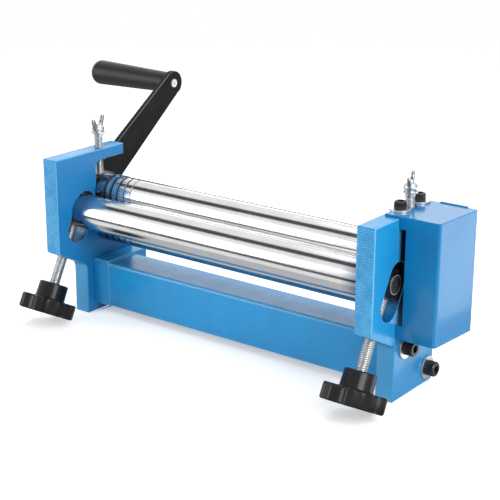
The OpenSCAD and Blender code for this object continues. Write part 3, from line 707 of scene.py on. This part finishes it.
@dataclass(frozen=True)
class RivetSteel:
    """Turned steel pin whose end has a dark rim and a shallow dimple."""

    name: str = "rivet_steel"
    axis_y: float = 143.0 * MM
    axis_z: float = 191.165 * MM
    bright_r: float = 4.15 * MM
    dimple_r: float = 1.7 * MM
    colour: Colour = (0.66, 0.67, 0.68)
    rim_colour: Colour = (0.03, 0.03, 0.032)
    dimple_colour: Colour = (0.45, 0.46, 0.47)
    roughness: float = 0.3
    grain: float = 0.4 * MM
    relief: float = 0.02 * MM

    def make(self) -> Material:
        """Builds the material."""
        sheet = Sheet(self.name)
        x_out, _, _ = sheet.facing()
        radius = sheet.from_axis(self.axis_y, self.axis_z)
        end = sheet.ramp(abs(x_out), 0.9, 0.98)
        rim = sheet.ramp(radius, self.bright_r - 0.15 * MM, self.bright_r + 0.15 * MM)
        dimple = sheet.near(radius, self.dimple_r + 0.3 * MM, 0.6 * MM)
        fine = sheet.noise(self.grain)
        faced = sheet.mix(rim, sheet.mix(dimple, self.colour, self.dimple_colour), self.rim_colour)
        rough = sheet.spread(fine, self.roughness - 0.04, self.roughness + 0.06) + rim * 0.3
        sheet.feed(Metallic=1.0, Base_Color=sheet.mix(end, self.colour, faced), Roughness=rough)
        sheet.bump(fine, self.relief, 0.3)
        return sheet.material


@dataclass(frozen=True)
class Moulding:
    """Black moulded plastic or coating with a fine even grain, and if asked a painted highlight along the
    rounded side edges.
    """

    name: str
    colour: Colour
    roughness: float
    shine: float = 0.3
    grain: float = 0.6 * MM
    relief: float = 0.06 * MM
    cloud_size: float = 20.0 * MM
    edge_highlight_colour: Colour | None = None

    def make(self) -> Material:
        """Builds the material."""
        sheet = Sheet(self.name)
        cloud = sheet.noise(self.cloud_size, 0.55)
        fine = sheet.noise(self.grain, 0.6)
        lighter = tuple(value * 1.7 + 0.002 for value in self.colour)
        base = sheet.mix(sheet.ramp(cloud, 0.3, 0.75), self.colour, lighter)
        if self.edge_highlight_colour:
            # Painted highlight along the rounded side edges.
            base = sheet.mix(edge_share(sheet, Edges.PLATE) * 0.8, base, self.edge_highlight_colour)
        rough = sheet.spread(fine, self.roughness - 0.04, self.roughness + 0.06)
        sheet.feed(Metallic=0.0, IOR=PLASTIC_IOR, Specular_IOR_Level=self.shine)
        sheet.feed(Base_Color=base, Roughness=rough)
        sheet.bump(fine, self.relief, 0.6)
        return sheet.material


class Finish(Enum):
    """Every finish on the machine, by the record's material slot."""

    CAST = "blue_paint"
    COVER = "cover_paint"
    ROLLER = "polished_steel"
    GEAR = "gear_steel"
    BRONZE = "bronze"
    OXIDE = "black_oxide"
    ARM = "black_paint"
    PLASTIC = "black_plastic"
    ZINC = "zinc"
    BRIGHT = "bright_steel"


class Paintbox:
    """Makes each finish once and puts it on pieces."""

    def __init__(self, layout: Layout) -> None:
        """Builds the materials.

        Args:
            layout: Where the rollers and screws are.
        """
        oxide = Metal("black_oxide_steel", (0.008, 0.008, 0.009), (0.016, 0.016, 0.018), 0.31, metallic=0.25)
        # Painted highlight colour for the crank arm's rounded edges.
        edge = (0.17, 0.17, 0.175)
        arm = Moulding("black_arm_coating", (0.006, 0.006, 0.0065), 0.42, 0.16, edge_highlight_colour=edge)
        finishes = {
            Finish.CAST: CastPaint(),
            Finish.COVER: SheetPaint(),
            Finish.ROLLER: RollerSteel("polished_front_roller", *layout.front_axis),
            Finish.GEAR: Metal("cut_gear_steel", (0.42, 0.42, 0.43), (0.3, 0.3, 0.31), 0.32),
            Finish.BRONZE: Metal("turned_bronze", (0.72, 0.5, 0.25), (0.58, 0.38, 0.18), 0.3),
            Finish.OXIDE: oxide,
            Finish.ARM: arm,
            Finish.PLASTIC: Moulding("black_moulded_plastic", (0.004, 0.004, 0.0045), 0.22),
            Finish.ZINC: Metal("bright_zinc", (0.68, 0.69, 0.7), (0.6, 0.61, 0.625), 0.3, 6.0 * MM),
            Finish.BRIGHT: Metal("bright_turned_steel", (0.8, 0.8, 0.8), (0.72, 0.72, 0.73), 0.24),
        }
        self.by_finish = {finish: paint.make() for finish, paint in finishes.items()}
        plate = PlatePaint().make()
        lower = RollerSteel("polished_lower_roller", layout.rear_axis, layout.lower_axis)
        upper = RollerSteel("polished_upper_roller", layout.rear_axis, layout.upper_axis, plate_reflection_reach=13.0 * MM)
        self.by_node = {
            "left_side_plate": plate,
            "right_side_plate": plate,
            "lower_roller": lower.make(),
            "upper_roller": upper.make(),
            "grip_pin": RivetSteel().make(),
            "crank_grip": Moulding("black_satin_grip", (0.01, 0.01, 0.0105), 0.42, 0.34).make(),
        }
        slot = (layout.plate_mid, layout.slot_y, layout.slot_z)
        bolt = (layout.plate_mid, layout.rear_axis, 0.0)
        # Wing bolt thread: colour, mottle colour and the roots' painted shade.
        wing_colours = ((0.6, 0.615, 0.63), (0.5, 0.515, 0.53), (0.36, 0.37, 0.38))
        self.adjusting_thread = ThreadedZinc(
            "zinc_adjusting_thread", slot, layout.incline, Adjuster.major, Adjuster.depth).make()
        self.wing_thread = ThreadedZinc(
            "zinc_wing_bolt_thread", bolt, 0.0, WingBolt.major, WingBolt.depth, *wing_colours).make()
        self.wing_zinc = Metal("zinc_wings", (0.5, 0.515, 0.53), (0.42, 0.435, 0.45), 0.28, 8.0 * MM).make()

    def put(self, obj: Object, finish: Finish) -> None:
        """Replaces an object's materials by one finish."""
        self.put_material(obj, self.by_finish[finish])

    @staticmethod
    def put_material(obj: Object, material: Material) -> None:
        """Puts one material on all of an object."""
        obj.data.materials.clear()
        obj.data.materials.append(material)


# Mesh building


def hexagon(flat: float) -> Radius:
    """Radius of a hexagon of that width across flats."""
    sector = TURN / 6.0
    return lambda angle: 0.5 * flat / math.cos((angle % sector) - sector / 2.0)


class Turner:
    """Builds solids from rings round a local z axis."""

    def __init__(self, segments: int) -> None:
        """Sets how many points a ring has.

        Args:
            segments: Points in each ring.
        """
        self.segments = segments
        self.verts: list[Point] = []
        self.faces: list[tuple[int, ...]] = []

    def solid(self, rings: Sequence[Ring], place: Matrix) -> None:
        """Adds a closed solid through the rings, capped at both ends.

        Args:
            rings: Place along the axis, and radius as a length or by the angle in radians, in order.
            place: Placement of the local axis.
        """
        base = len(self.verts)
        count = self.segments
        for height, radius in rings:
            for step in range(count):
                angle = TURN * step / count
                reach = radius(angle) if callable(radius) else radius
                point = place @ Vector((reach * math.cos(angle), reach * math.sin(angle), height))
                self.verts.append(point[:])
        for row in range(len(rings) - 1):
            low = base + row * count
            for step in range(count):
                nxt = (step + 1) % count
                self.faces.append((low + step, low + nxt, low + count + nxt, low + count + step))
        for row, flip in ((0, True), (len(rings) - 1, False)):
            middle = len(self.verts)
            self.verts.append((place @ Vector((0.0, 0.0, rings[row][0])))[:])
            start = base + row * count
            for step in range(count):
                nxt = (step + 1) % count
                ends = (start + nxt, start + step) if flip else (start + step, start + nxt)
                self.faces.append((middle, *ends))

    def object(self, name: str, sharp: float) -> Object:
        """Makes the object, smooth except at edges sharper than that many degrees."""
        return finish_mesh(name, self.verts, self.faces, sharp)


def finish_mesh(name: str, verts: Sequence[Sequence[float]], faces: Sequence[Sequence[int]],
                sharp: float = 32.0) -> Object:
    """Makes a mesh object in the row frame.

    Args:
        name: The piece's name.
        verts: Points.
        faces: Point numbers of each face.
        sharp: Angle in degrees above which an edge is kept sharp.

    Returns:
        The linked object.
    """
    mesh = bpy.data.meshes.new(name)
    mesh.from_pydata([tuple(v) for v in verts], [], [tuple(f) for f in faces])
    work = bmesh.new()
    work.from_mesh(mesh)
    bmesh.ops.recalc_face_normals(work, faces=work.faces)
    work.to_mesh(mesh)
    work.free()
    mesh.shade_smooth()
    mesh.set_sharp_from_angle(angle=math.radians(sharp))
    obj = bpy.data.objects.new(name, mesh)
    bpy.context.scene.collection.objects.link(obj)
    return obj


def add_bevel(obj: Object, width: float, segments: int) -> Modifier:
    """Adds a bevel modifier on edges sharper than 50 degrees and returns it."""
    bevel = obj.modifiers.new("soft_edges", "BEVEL")
    bevel.width = width
    bevel.segments = segments
    bevel.limit_method = "ANGLE"
    bevel.angle_limit = math.radians(50.0)
    return bevel


def round_packed(obj: Object, width: float) -> None:
    """Rounds the right-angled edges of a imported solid, whose faces come as separate triangles.

    Args:
        obj: The solid.
        width: How far the rounding reaches from an edge.
    """
    weld = obj.modifiers.new("joined_faces", "WELD")
    weld.merge_threshold = 0.005 * MM
    flat = obj.modifiers.new("whole_faces", "DECIMATE")
    flat.decimate_type = "DISSOLVE"
    flat.angle_limit = math.radians(0.5)
    bevel = add_bevel(obj, width, 2)
    bevel.use_clamp_overlap = False
    bevel.face_strength_mode = "FSTR_ALL"
    normals = obj.modifiers.new("even_normals", "WEIGHTED_NORMAL")
    normals.keep_sharp = False
    normals.use_face_influence = True


# Sub-assemblies


def thread_rings(start: float, end: float, pitch: float, major: float, depth: float) -> list[Ring]:
    """Rings of a right-hand screw thread.

    Args:
        start: Lower end of the thread.
        end: Upper end.
        pitch: Distance between crests.
        major: Crest radius.
        depth: Depth of the groove.

    Returns:
        The rings from start to end, faded out at both ends.
    """
    rings_per_pitch = 8
    flat_share, flank_share = 0.12, 0.76
    rings = []
    count = int(round((end - start) / pitch * rings_per_pitch))
    for row in range(count + 1):
        height = start + (end - start) * row / count
        share = min(1.0, (height - start) / pitch, (end - height) / pitch)

        def radius(angle: float, height: float = height, share: float = max(0.0, share)) -> float:
            """The thread's radius at that angle in one ring."""
            phase = (height / pitch - angle / TURN) % 1.0
            wave = abs(2.0 * phase - 1.0)
            flank = min(1.0, max(0.0, (wave - flat_share) / flank_share))
            return major - depth * (1.0 - flank) * share - depth * (1.0 - share)

        rings.append((height, radius))
    return rings


@dataclass
class SidePart:
    """A sub-assembly that stands once at each side.

    Attributes:
        side: -1 for the crank side, 1 for the gear side.
        layout: The shared places.
    """

    side: int
    layout: Layout

    @property
    def label(self) -> str:
        """Side name used in piece names."""
        return "left" if self.side < 0 else "right"


@dataclass
class Adjuster(SidePart):
    """One inclined adjusting screw with its lobed knob."""

    major: float = 5.0 * MM
    pitch: float = 1.5 * MM
    depth: float = 0.85 * MM
    tip: float = 6.0 * MM
    pilot_r: float = 3.0 * MM
    pilot_end: float = 8.0 * MM
    drop: float = 54.5 * MM
    socket: float = 22.0 * MM
    knob_r: float = 26.25 * MM
    knob_h: float = 14.0 * MM
    collar_r: float = 13.75 * MM
    collar_h: float = 15.0 * MM
    hollow_r: float = 8.5 * MM
    hollow_depth: float = 3.6 * MM
    lobes: int = 8
    rim: float = 1.9 * MM
    rim_steps: int = 6
    join: float = 1.1 * MM
    knob_points: int = 192
    screw_points: int = 48

    def lobe_radius(self, angle: float) -> float:
        """Outline of the knob's head: round lobes with hollows between them, softly joined."""
        sector = TURN / self.lobes
        off = (angle + sector / 2.0) % sector - sector / 2.0
        centre = self.knob_r + self.hollow_r - self.hollow_depth
        inside = self.hollow_r**2 - (centre * math.sin(off)) ** 2
        if inside <= 0.0:
            hollow = self.knob_r * 1.4
        else:
            hollow = centre * math.cos(off) - math.sqrt(inside)
        blend = math.exp(-self.knob_r / self.join) + math.exp(-hollow / self.join)
        return -self.join * math.log(blend)

    def build_knob(self) -> Object:
        """Moulded knob with rounded rims, a stepped collar and a dished underside."""
        turner = Turner(self.knob_points)
        low = -self.collar_h - self.knob_h

        def lobe(inset: float) -> Radius:
            """The head's outline moved inwards."""
            return lambda angle: self.lobe_radius(angle) - inset

        rings = [
            (low + 1.6 * MM, AXIS_R),
            (low + 1.6 * MM, 9.0 * MM),
            (low + 1.2 * MM, 10.2 * MM),
            (low + 0.3 * MM, 11.2 * MM),
            (low, 12.2 * MM),
            (low, lobe(self.rim + 0.9 * MM)),
        ]
        turns = [math.radians(90.0 * step / self.rim_steps) for step in range(self.rim_steps + 1)]
        arc = [(self.rim * (1.0 - math.cos(turn)), self.rim * (1.0 - math.sin(turn))) for turn in turns]
        rings += [(low + up, lobe(inset)) for up, inset in arc]
        rings += [(-self.collar_h - down, lobe(inset)) for inset, down in arc]
        neck = self.collar_r
        rings += [
            (-self.collar_h, neck + 1.4 * MM),
            (-self.collar_h + 0.35 * MM, neck + 0.45 * MM),
            (-self.collar_h + 1.2 * MM, neck),
            (-1.2 * MM, neck - 0.35 * MM),
            (-0.35 * MM, neck - 0.75 * MM),
            (0.0, neck - 1.5 * MM),
            (0.0, self.major + 0.6 * MM),
            (-0.5 * MM, self.major + 0.15 * MM),
            (-self.socket, self.major + 0.02 * MM),
            (-self.socket, AXIS_R),
        ]
        place = self.layout.incline_axis(self.side) @ Matrix.Translation((0.0, 0.0, -self.drop))
        turner.solid(rings, place)
        return turner.object(f"{self.label}_moulded_knob", 40.0)

    def build_screw(self) -> Object:
        """Threaded rod with its pilot tip."""
        turner = Turner(self.screw_points)
        start = -self.drop - self.socket
        rings = [(start, self.major - self.depth)]
        rings += thread_rings(start + 0.3 * MM, self.tip - 0.4 * MM, self.pitch, self.major, self.depth)
        rings += [
            (self.tip, self.major - self.depth - 0.3 * MM),
            (self.tip, self.pilot_r),
            (self.pilot_end - 0.5 * MM, self.pilot_r),
            (self.pilot_end, self.pilot_r - 0.5 * MM),
        ]
        turner.solid(rings, self.layout.incline_axis(self.side))
        return turner.object(f"{self.label}_adjusting_thread", 50.0)

    def dress(self, paints: Paintbox) -> None:
        """Puts the screw and the knob in place of their plain solids."""
        body = f"{self.label}_adjuster"
        screw = self.build_screw()
        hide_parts(f"{self.label}_adjust_screw")
        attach(screw, body)
        paints.put_material(screw, paints.adjusting_thread)
        knob = self.build_knob()
        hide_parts(f"{self.label}_adjust_knob")
        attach(knob, body)
        paints.put(knob, Finish.PLASTIC)
        faces = len(screw.data.polygons) + len(knob.data.polygons)
        LOG.info("%s adjuster: %d faces", self.label, faces)


@dataclass
class WingBolt(SidePart):
    """One hold-down bolt: thread, collar, domed hub and two cast wings."""

    major: float = 4.0 * MM
    pitch: float = 1.25 * MM
    depth: float = 0.5 * MM
    foot: float = 130.1 * MM
    pilot_h: float = 2.0 * MM
    pilot_r: float = 2.5 * MM
    lift: float = 13.0 * MM
    collar_r: float = 6.2 * MM
    collar_h: float = 1.6 * MM
    hub_r: float = 5.7 * MM
    hub_h: float = 6.5 * MM
    reach: float = 13.5 * MM
    wing_t: float = 3.0 * MM
    turn: float = math.radians(-68.5)
    points: int = 48

    def build_stem(self) -> Object:
        """Threaded stem with collar and hub."""
        turner = Turner(self.points)
        seat = self.layout.plate_top + self.lift
        rings = [
            (self.foot - self.pilot_h, self.pilot_r - 0.4 * MM),
            (self.foot - self.pilot_h + 0.4 * MM, self.pilot_r),
            (self.foot, self.pilot_r),
            (self.foot, self.major - self.depth),
        ]
        rings += thread_rings(self.foot + 0.2 * MM, seat - 4.0 * MM, self.pitch, self.major, self.depth)
        top = seat + self.collar_h
        rings += [
            (seat - 3.6 * MM, self.major),
            (seat, self.major),
            (seat, self.collar_r - 0.5 * MM),
            (seat + 0.4 * MM, self.collar_r),
            (top - 0.4 * MM, self.collar_r),
            (top, self.collar_r - 0.5 * MM),
            (top, self.hub_r - 0.7 * MM),
        ]
        dome = [(0.12, 0.92), (0.3, 1.0), (0.5, 1.0), (0.68, 0.94), (0.82, 0.82), (0.93, 0.62), (1.0, 0.3)]
        rings += [(top + self.hub_h * up, self.hub_r * out) for up, out in dome]
        place = Matrix.Translation((self.side * self.layout.plate_mid, self.layout.rear_axis, 0.0))
        turner.solid(rings, place)
        return turner.object(f"{self.label}_wing_bolt_stem", 50.0)

    def build_wings(self) -> Object:
        """Both wings as rounded plates, thicker at the root."""
        seat = self.layout.plate_top + self.lift
        outline = [
            (2.0, 1.8), (5.6, 2.2), (7.8, 4.4), (9.8, 7.6), (11.6, 10.2), (12.9, 12.4), (13.4, 14.2),
            (12.9, 15.3), (11.6, 15.5), (9.9, 14.8), (7.9, 12.0), (6.0, 8.9), (2.0, 7.2),
        ]
        verts: list[Point] = []
        faces: list[tuple[int, ...]] = []
        spot = Matrix.Translation((self.side * self.layout.plate_mid, self.layout.rear_axis, seat))
        for half_turn in (0.0, math.pi):
            place = spot @ Matrix.Rotation(self.turn + half_turn, 4, "Z")
            base = len(verts)
            for sign in (-1.0, 1.0):
                for out, up in outline:
                    half = 0.5 * self.wing_t * (1.25 - 0.3 * out * MM / self.reach)
                    verts.append((place @ Vector((out * MM, sign * half, up * MM)))[:])
            count = len(outline)
            faces.append(tuple(base + i for i in range(count)))
            faces.append(tuple(base + count + i for i in reversed(range(count))))
            for i in range(count):
                j = (i + 1) % count
                faces.append((base + j, base + i, base + count + i, base + count + j))
        wings = finish_mesh(f"{self.label}_wing_bolt_wings", verts, faces, 60.0)
        add_bevel(wings, 0.9 * MM, 3).miter_outer = "MITER_ARC"
        return wings

    def dress(self, paints: Paintbox) -> None:
        """Puts the bolt in place of its plain solid."""
        body = f"{self.label}_hold_down"
        stem = self.build_stem()
        wings = self.build_wings()
        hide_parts(f"{self.label}_wing_bolt")
        for piece in (stem, wings):
            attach(piece, body)
            paints.put(piece, Finish.ZINC)
        paints.put_material(stem, paints.wing_thread)
        paints.put_material(wings, paints.wing_zinc)
        LOG.info("%s wing bolt: stem %d faces", self.label, len(stem.data.polygons))


@dataclass
class SocketScrew:
    """A socket head screw with a knurled head, drawn along local +z from the head's underside."""

    head_r: float
    head_h: float
    shank_r: float
    shank_len: float
    socket: float
    socket_h: float
    ridges: int = 40
    knurl: float = 0.16 * MM
    ridge_points: int = 6

    def add(self, turner: Turner, place: Matrix) -> None:
        """Adds the screw's solid to a turner.

        Args:
            turner: Where the points go.
            place: The head's underside and direction.
        """

        def knurled(angle: float) -> float:
            """The head's radius with its ridges."""
            return self.head_r - self.knurl * (0.5 - 0.5 * math.cos(self.ridges * angle))

        edge = 0.7 * MM
        rings = [
            (-self.shank_len, self.shank_r - 0.6 * MM),
            (-self.shank_len + 0.6 * MM, self.shank_r),
            (0.0, self.shank_r),
            (0.0, self.head_r - 0.35 * MM),
            (0.3 * MM, knurled),
            (self.head_h - edge - 0.2 * MM, knurled),
            (self.head_h - edge, self.head_r - 0.25 * MM),
            (self.head_h, self.head_r - edge - 0.1 * MM),
            (self.head_h, hexagon(self.socket + 0.6 * MM)),
            (self.head_h - 0.3 * MM, hexagon(self.socket)),
            (self.head_h - self.socket_h, hexagon(self.socket)),
        ]
        turner.solid(rings, place)


@dataclass
class Fasteners:
    """The visible socket screws of the beam and of the cover."""

    layout: Layout
    washer_t: float = 1.8 * MM
    beam_spots: tuple[tuple[float, float], ...] = ((-15.5 * MM, 44.5 * MM), (21.5 * MM, 14.0 * MM))
    cover_spots: tuple[float, ...] = (-17.5 * MM, 12.5 * MM)
    cover_seat: float = 160.1 * MM

    def dress(self, paints: Paintbox) -> None:
        """Builds both groups and puts them in place of their plain solids."""
        big = SocketScrew(head_r=6.5 * MM, head_h=8.0 * MM, shank_r=4.0 * MM, shank_len=30.0 * MM,
                          socket=6.0 * MM, socket_h=4.5 * MM)
        small = SocketScrew(head_r=5.0 * MM, head_h=6.0 * MM, shank_r=3.0 * MM, shank_len=12.0 * MM,
                            socket=5.0 * MM, socket_h=3.0 * MM, ridges=32)
        for side, label in ((-1, "left"), (1, "right")):
            turner = Turner(big.ridges * big.ridge_points)
            for y, z in self.beam_spots:
                spot = Matrix.Translation((side * (self.layout.plate_out + self.washer_t), y, z))
                big.add(turner, spot @ Matrix.Rotation(side * math.pi / 2.0, 4, "Y"))
            self._finish(turner, f"{label}_knurled_beam_screws", f"{label}_beam_bolts", paints)
        turner = Turner(small.ridges * small.ridge_points)
        for y in self.cover_spots:
            small.add(turner, Matrix.Translation((self.layout.plate_mid, y, self.cover_seat)))
        self._finish(turner, "knurled_cover_screws", "cover_screws", paints)

    @staticmethod
    def _finish(turner: Turner, name: str, node: str, paints: Paintbox) -> None:
        """Makes one group of screws and puts it in place of its node."""
        screws = turner.object(name, 28.0)
        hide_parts(node)
        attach(screws, "frame")
        paints.put(screws, Finish.OXIDE)
        LOG.info("%s: %d faces", name, len(screws.data.polygons))


class CadParts:
    """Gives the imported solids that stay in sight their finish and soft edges."""

    EDGES = {
        0.9 * MM: ("base_beam",),
        0.6 * MM: ("left_side_plate", "right_side_plate"),
        0.5 * MM: ("gear_cover", "left_upper_block", "right_upper_block"),
        0.4 * MM: ("crank_arm", "left_front_block", "right_front_block"),
        0.2 * MM: ("left_beam_washers", "right_beam_washers", "cover_washers"),
    }
    SHARP = 30.0

    def __init__(self, paints: Paintbox) -> None:
        """Keeps the finishes.

        Args:
            paints: The finishes to use.
        """
        self.paints = paints

    def dress(self) -> None:
        """Dresses every node by its material slot in the record."""
        for part in frame["record"]["subparts"]:
            node = frame["nodes"][part["node"]]
            self.paints.put(node, Finish(part["material_slot"]))
            node.data.shade_smooth()
            node.data.set_sharp_from_angle(angle=math.radians(self.SHARP))
            LOG.info("%s: %s", part["node"], part["material_slot"])
        for name, material in self.paints.by_node.items():
            self.paints.put_material(frame["nodes"][name], material)
        for width, names in self.EDGES.items():
            for name in names:
                round_packed(frame["nodes"][name], width)


# Studio


@dataclass(frozen=True)
class Card:
    """A plain flat card of the studio that only reflections show; its width is the level side."""

    name: str
    centre: Point
    width: float
    height: float
    shade: float
    facing: Point

    def build(self) -> None:
        """Makes the card."""
        name = f"{self.name}_card"
        away = Vector(self.facing).normalized()
        level = Vector((0.0, 0.0, 1.0)).cross(away).normalized()
        up = away.cross(level).normalized()
        corners = [
            Vector(self.centre) + level * (across * self.width / 2.0) + up * (along * self.height / 2.0)
            for across, along in ((-1, -1), (1, -1), (1, 1), (-1, 1))
        ]
        card = finish_mesh(name, corners, [(0, 1, 2, 3)])
        material = bpy.data.materials.new(name)
        web = Web(material)
        glow = web.node("ShaderNodeEmission", {"Color": (self.shade, self.shade, self.shade)})
        web.node("ShaderNodeOutputMaterial", {"Surface": glow.outputs[0]})
        card.data.materials.append(material)
        card.visible_camera = False
        card.visible_diffuse = False
        card.visible_shadow = False
        card.visible_transmission = False


@dataclass
class Studio:
    """Camera, soft lamps, pale floor and the cards that the polished rollers reflect.

    Attributes:
        centre_px: Where the camera's line of sight meets the photograph, in its pixels.
        aim: The point that distance, side_step and rise start from.
        lamps: Name, place, size and power of each lamp.
    """

    layout: Layout
    yaw: float = math.radians(36.62)
    pitch: float = math.radians(18.17)
    roll: float = math.radians(0.33)
    focal_px: float = 1309.09
    centre_px: tuple[float, float] = (256.7, 250.95)
    image_px: float = 500.0
    sensor: float = 36.0
    distance: float = 1146.41 * MM
    aim: Point = (0.0, -17.5 * MM, 83.5 * MM)
    side_step: float = 22.88 * MM
    rise: float = 7.01 * MM
    lamp_goal: Point = (0.0, 0.0, 0.08)
    lamps: tuple[tuple[str, Point, float, float], ...] = (
        ("key", (1.12, -0.35, 0.78), 0.7, 12.6),
        ("front", (-1.0, -0.95, 0.4), 0.8, 7.4),
        ("top", (-0.1, 0.45, 1.7), 1.3, 16.5),
    )
    fill: float = 0.5
    floor_half: float = 6.0
    floor_glow: float = 0.42
    floor_fade: tuple[float, float] = (0.7, 1.7)

    def build_camera(self) -> None:
        """Makes the camera of the photograph's view."""
        data = bpy.data.cameras.new("studio_camera")
        data.sensor_width = self.sensor
        data.lens = self.sensor * self.focal_px / self.image_px
        half = self.image_px / 2.0
        data.shift_x = (half - self.centre_px[0]) / self.image_px
        data.shift_y = (self.centre_px[1] - half) / self.image_px
        camera = bpy.data.objects.new("studio_camera", data)
        turn = Matrix.Rotation(self.yaw, 4, "Z") @ Matrix.Rotation(math.pi / 2.0 - self.pitch, 4, "X")
        turn = turn @ Matrix.Rotation(self.roll, 4, "Z")
        step = Matrix.Translation((self.side_step, self.rise, self.distance))
        camera.matrix_world = Matrix.Translation(self.aim) @ turn @ step
        bpy.context.scene.collection.objects.link(camera)
        bpy.context.scene.camera = camera

    def build_lamps(self) -> None:
        """Makes the soft area lamps, all aimed at the machine."""
        for name, place, size, power in self.lamps:
            data = bpy.data.lights.new(f"{name}_lamp", "AREA")
            data.shape = "SQUARE"
            data.size = size
            data.energy = power
            lamp = bpy.data.objects.new(f"{name}_lamp", data)
            lamp.location = place
            lamp.rotation_euler = (Vector(self.lamp_goal) - Vector(place)).to_track_quat("-Z", "Y").to_euler()
            bpy.context.scene.collection.objects.link(lamp)

    def build_world(self) -> None:
        """White to the camera and to reflections, a plain level for the rest."""
        world = bpy.data.worlds.new("studio_world")
        web = Web(world)
        plain = web.node("ShaderNodeBackground", {"Color": WHITE, "Strength": self.fill})
        bright = web.node("ShaderNodeBackground", {"Color": WHITE, "Strength": 1.0})
        path = web.node("ShaderNodeLightPath")
        seen = Signal(web, path.outputs["Is Camera Ray"])
        seen = seen.larger(Signal(web, path.outputs["Is Glossy Ray"]))
        seen = seen.larger(Signal(web, path.outputs["Is Transmission Ray"]))
        mixed = web.node("ShaderNodeMixShader", {"Fac": seen, 1: plain.outputs[0], 2: bright.outputs[0]})
        web.node("ShaderNodeOutputWorld", {"Surface": mixed.outputs[0]})
        bpy.context.scene.world = world

    def build_floor(self) -> None:
        """Pale plain floor that keeps the machine's shadow and fades to white far away."""
        half = self.floor_half
        verts = [(-half, -half, 0.0), (half, -half, 0.0), (half, half, 0.0), (-half, half, 0.0)]
        floor = finish_mesh("studio_floor", verts, [(0, 1, 2, 3)])
        sheet = Sheet("studio_floor_paper")
        sheet.feed(Base_Color=(0.9, 0.9, 0.9), Roughness=0.9, Metallic=0.0, Specular_IOR_Level=0.2)
        paper = sheet.shader.outputs["BSDF"]
        glow = sheet.node("ShaderNodeEmission", {"Color": WHITE, "Strength": self.floor_glow})
        lit = sheet.node("ShaderNodeAddShader", {0: paper, 1: glow.outputs[0]})
        blank = sheet.node("ShaderNodeEmission", {"Color": WHITE, "Strength": 1.0})
        x, y, _ = sheet.axes()
        far = sheet.ramp((x * x + y * y).root(), *self.floor_fade)
        fade = sheet.node("ShaderNodeMixShader", {0: far, 1: lit.outputs[0], 2: blank.outputs[0]})
        seen = sheet.node("ShaderNodeLightPath").outputs["Is Camera Ray"]
        choice = sheet.node("ShaderNodeMixShader", {0: seen, 1: paper, 2: fade.outputs[0]})
        sheet.plug(sheet.output.inputs["Surface"], choice.outputs[0])
        floor.data.materials.append(sheet.material)

    def build_cards(self) -> None:
        """The grey cards, laid along the rollers, whose edges give the rollers their dark bands."""
        y, z = self.layout.front_axis
        up, down, ahead = (0.0, 0.001, 1.0), (0.0, -0.001, -1.0), (0.0, -1.0, 0.001)
        cards = (
            Card("bench", (-0.6, y + 0.16, 0.002), 4.0, 0.52, 0.57, up),
            Card("near", (-0.6, y - 0.175, 0.002), 4.0, 0.15, 0.97, up),
            Card("low", (-0.6, y - 0.515, 0.002), 4.0, 0.53, 0.05, up),
            Card("high", (-0.6, y - 0.23, z + 0.95), 4.0, 0.47, 0.06, down),
            Card("rear", (-0.6, y + 1.0, z + 0.11), 5.0, 0.32, 0.1, ahead),
            Card("back", (-1.4, y + 0.64, 0.002), 3.0, 0.7, 0.12, up),
            Card("sky", (-0.95, 1.2, 0.62), 3.0, 0.5, 1.9, (0.95, -1.2, -0.62)),
            Card("side", (0.88, 0.7, 0.003), 1.1, 1.5, 2.6, up),
            Card("foot", (0.245, 0.2, 0.003), 0.08, 0.5, 2.0, up),
        )
        for card in cards:
            card.build()

    def build(self) -> None:
        """Builds the whole set."""
        self.build_camera()
        self.build_lamps()
        self.build_world()
        self.build_floor()
        self.build_cards()
        bpy.context.scene.view_settings.view_transform = "Standard"


def main() -> None:
    """Builds every piece in order."""
    logging.basicConfig(level=logging.INFO, format="%(message)s")
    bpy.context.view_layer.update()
    layout = Layout()
    paints = Paintbox(layout)
    CadParts(paints).dress()
    for side in (-1, 1):
        Adjuster(side, layout).dress(paints)
        WingBolt(side, layout).dress(paints)
    Fasteners(layout).dress(paints)
    Studio(layout).build()


if __name__ == "__main__":
    main()
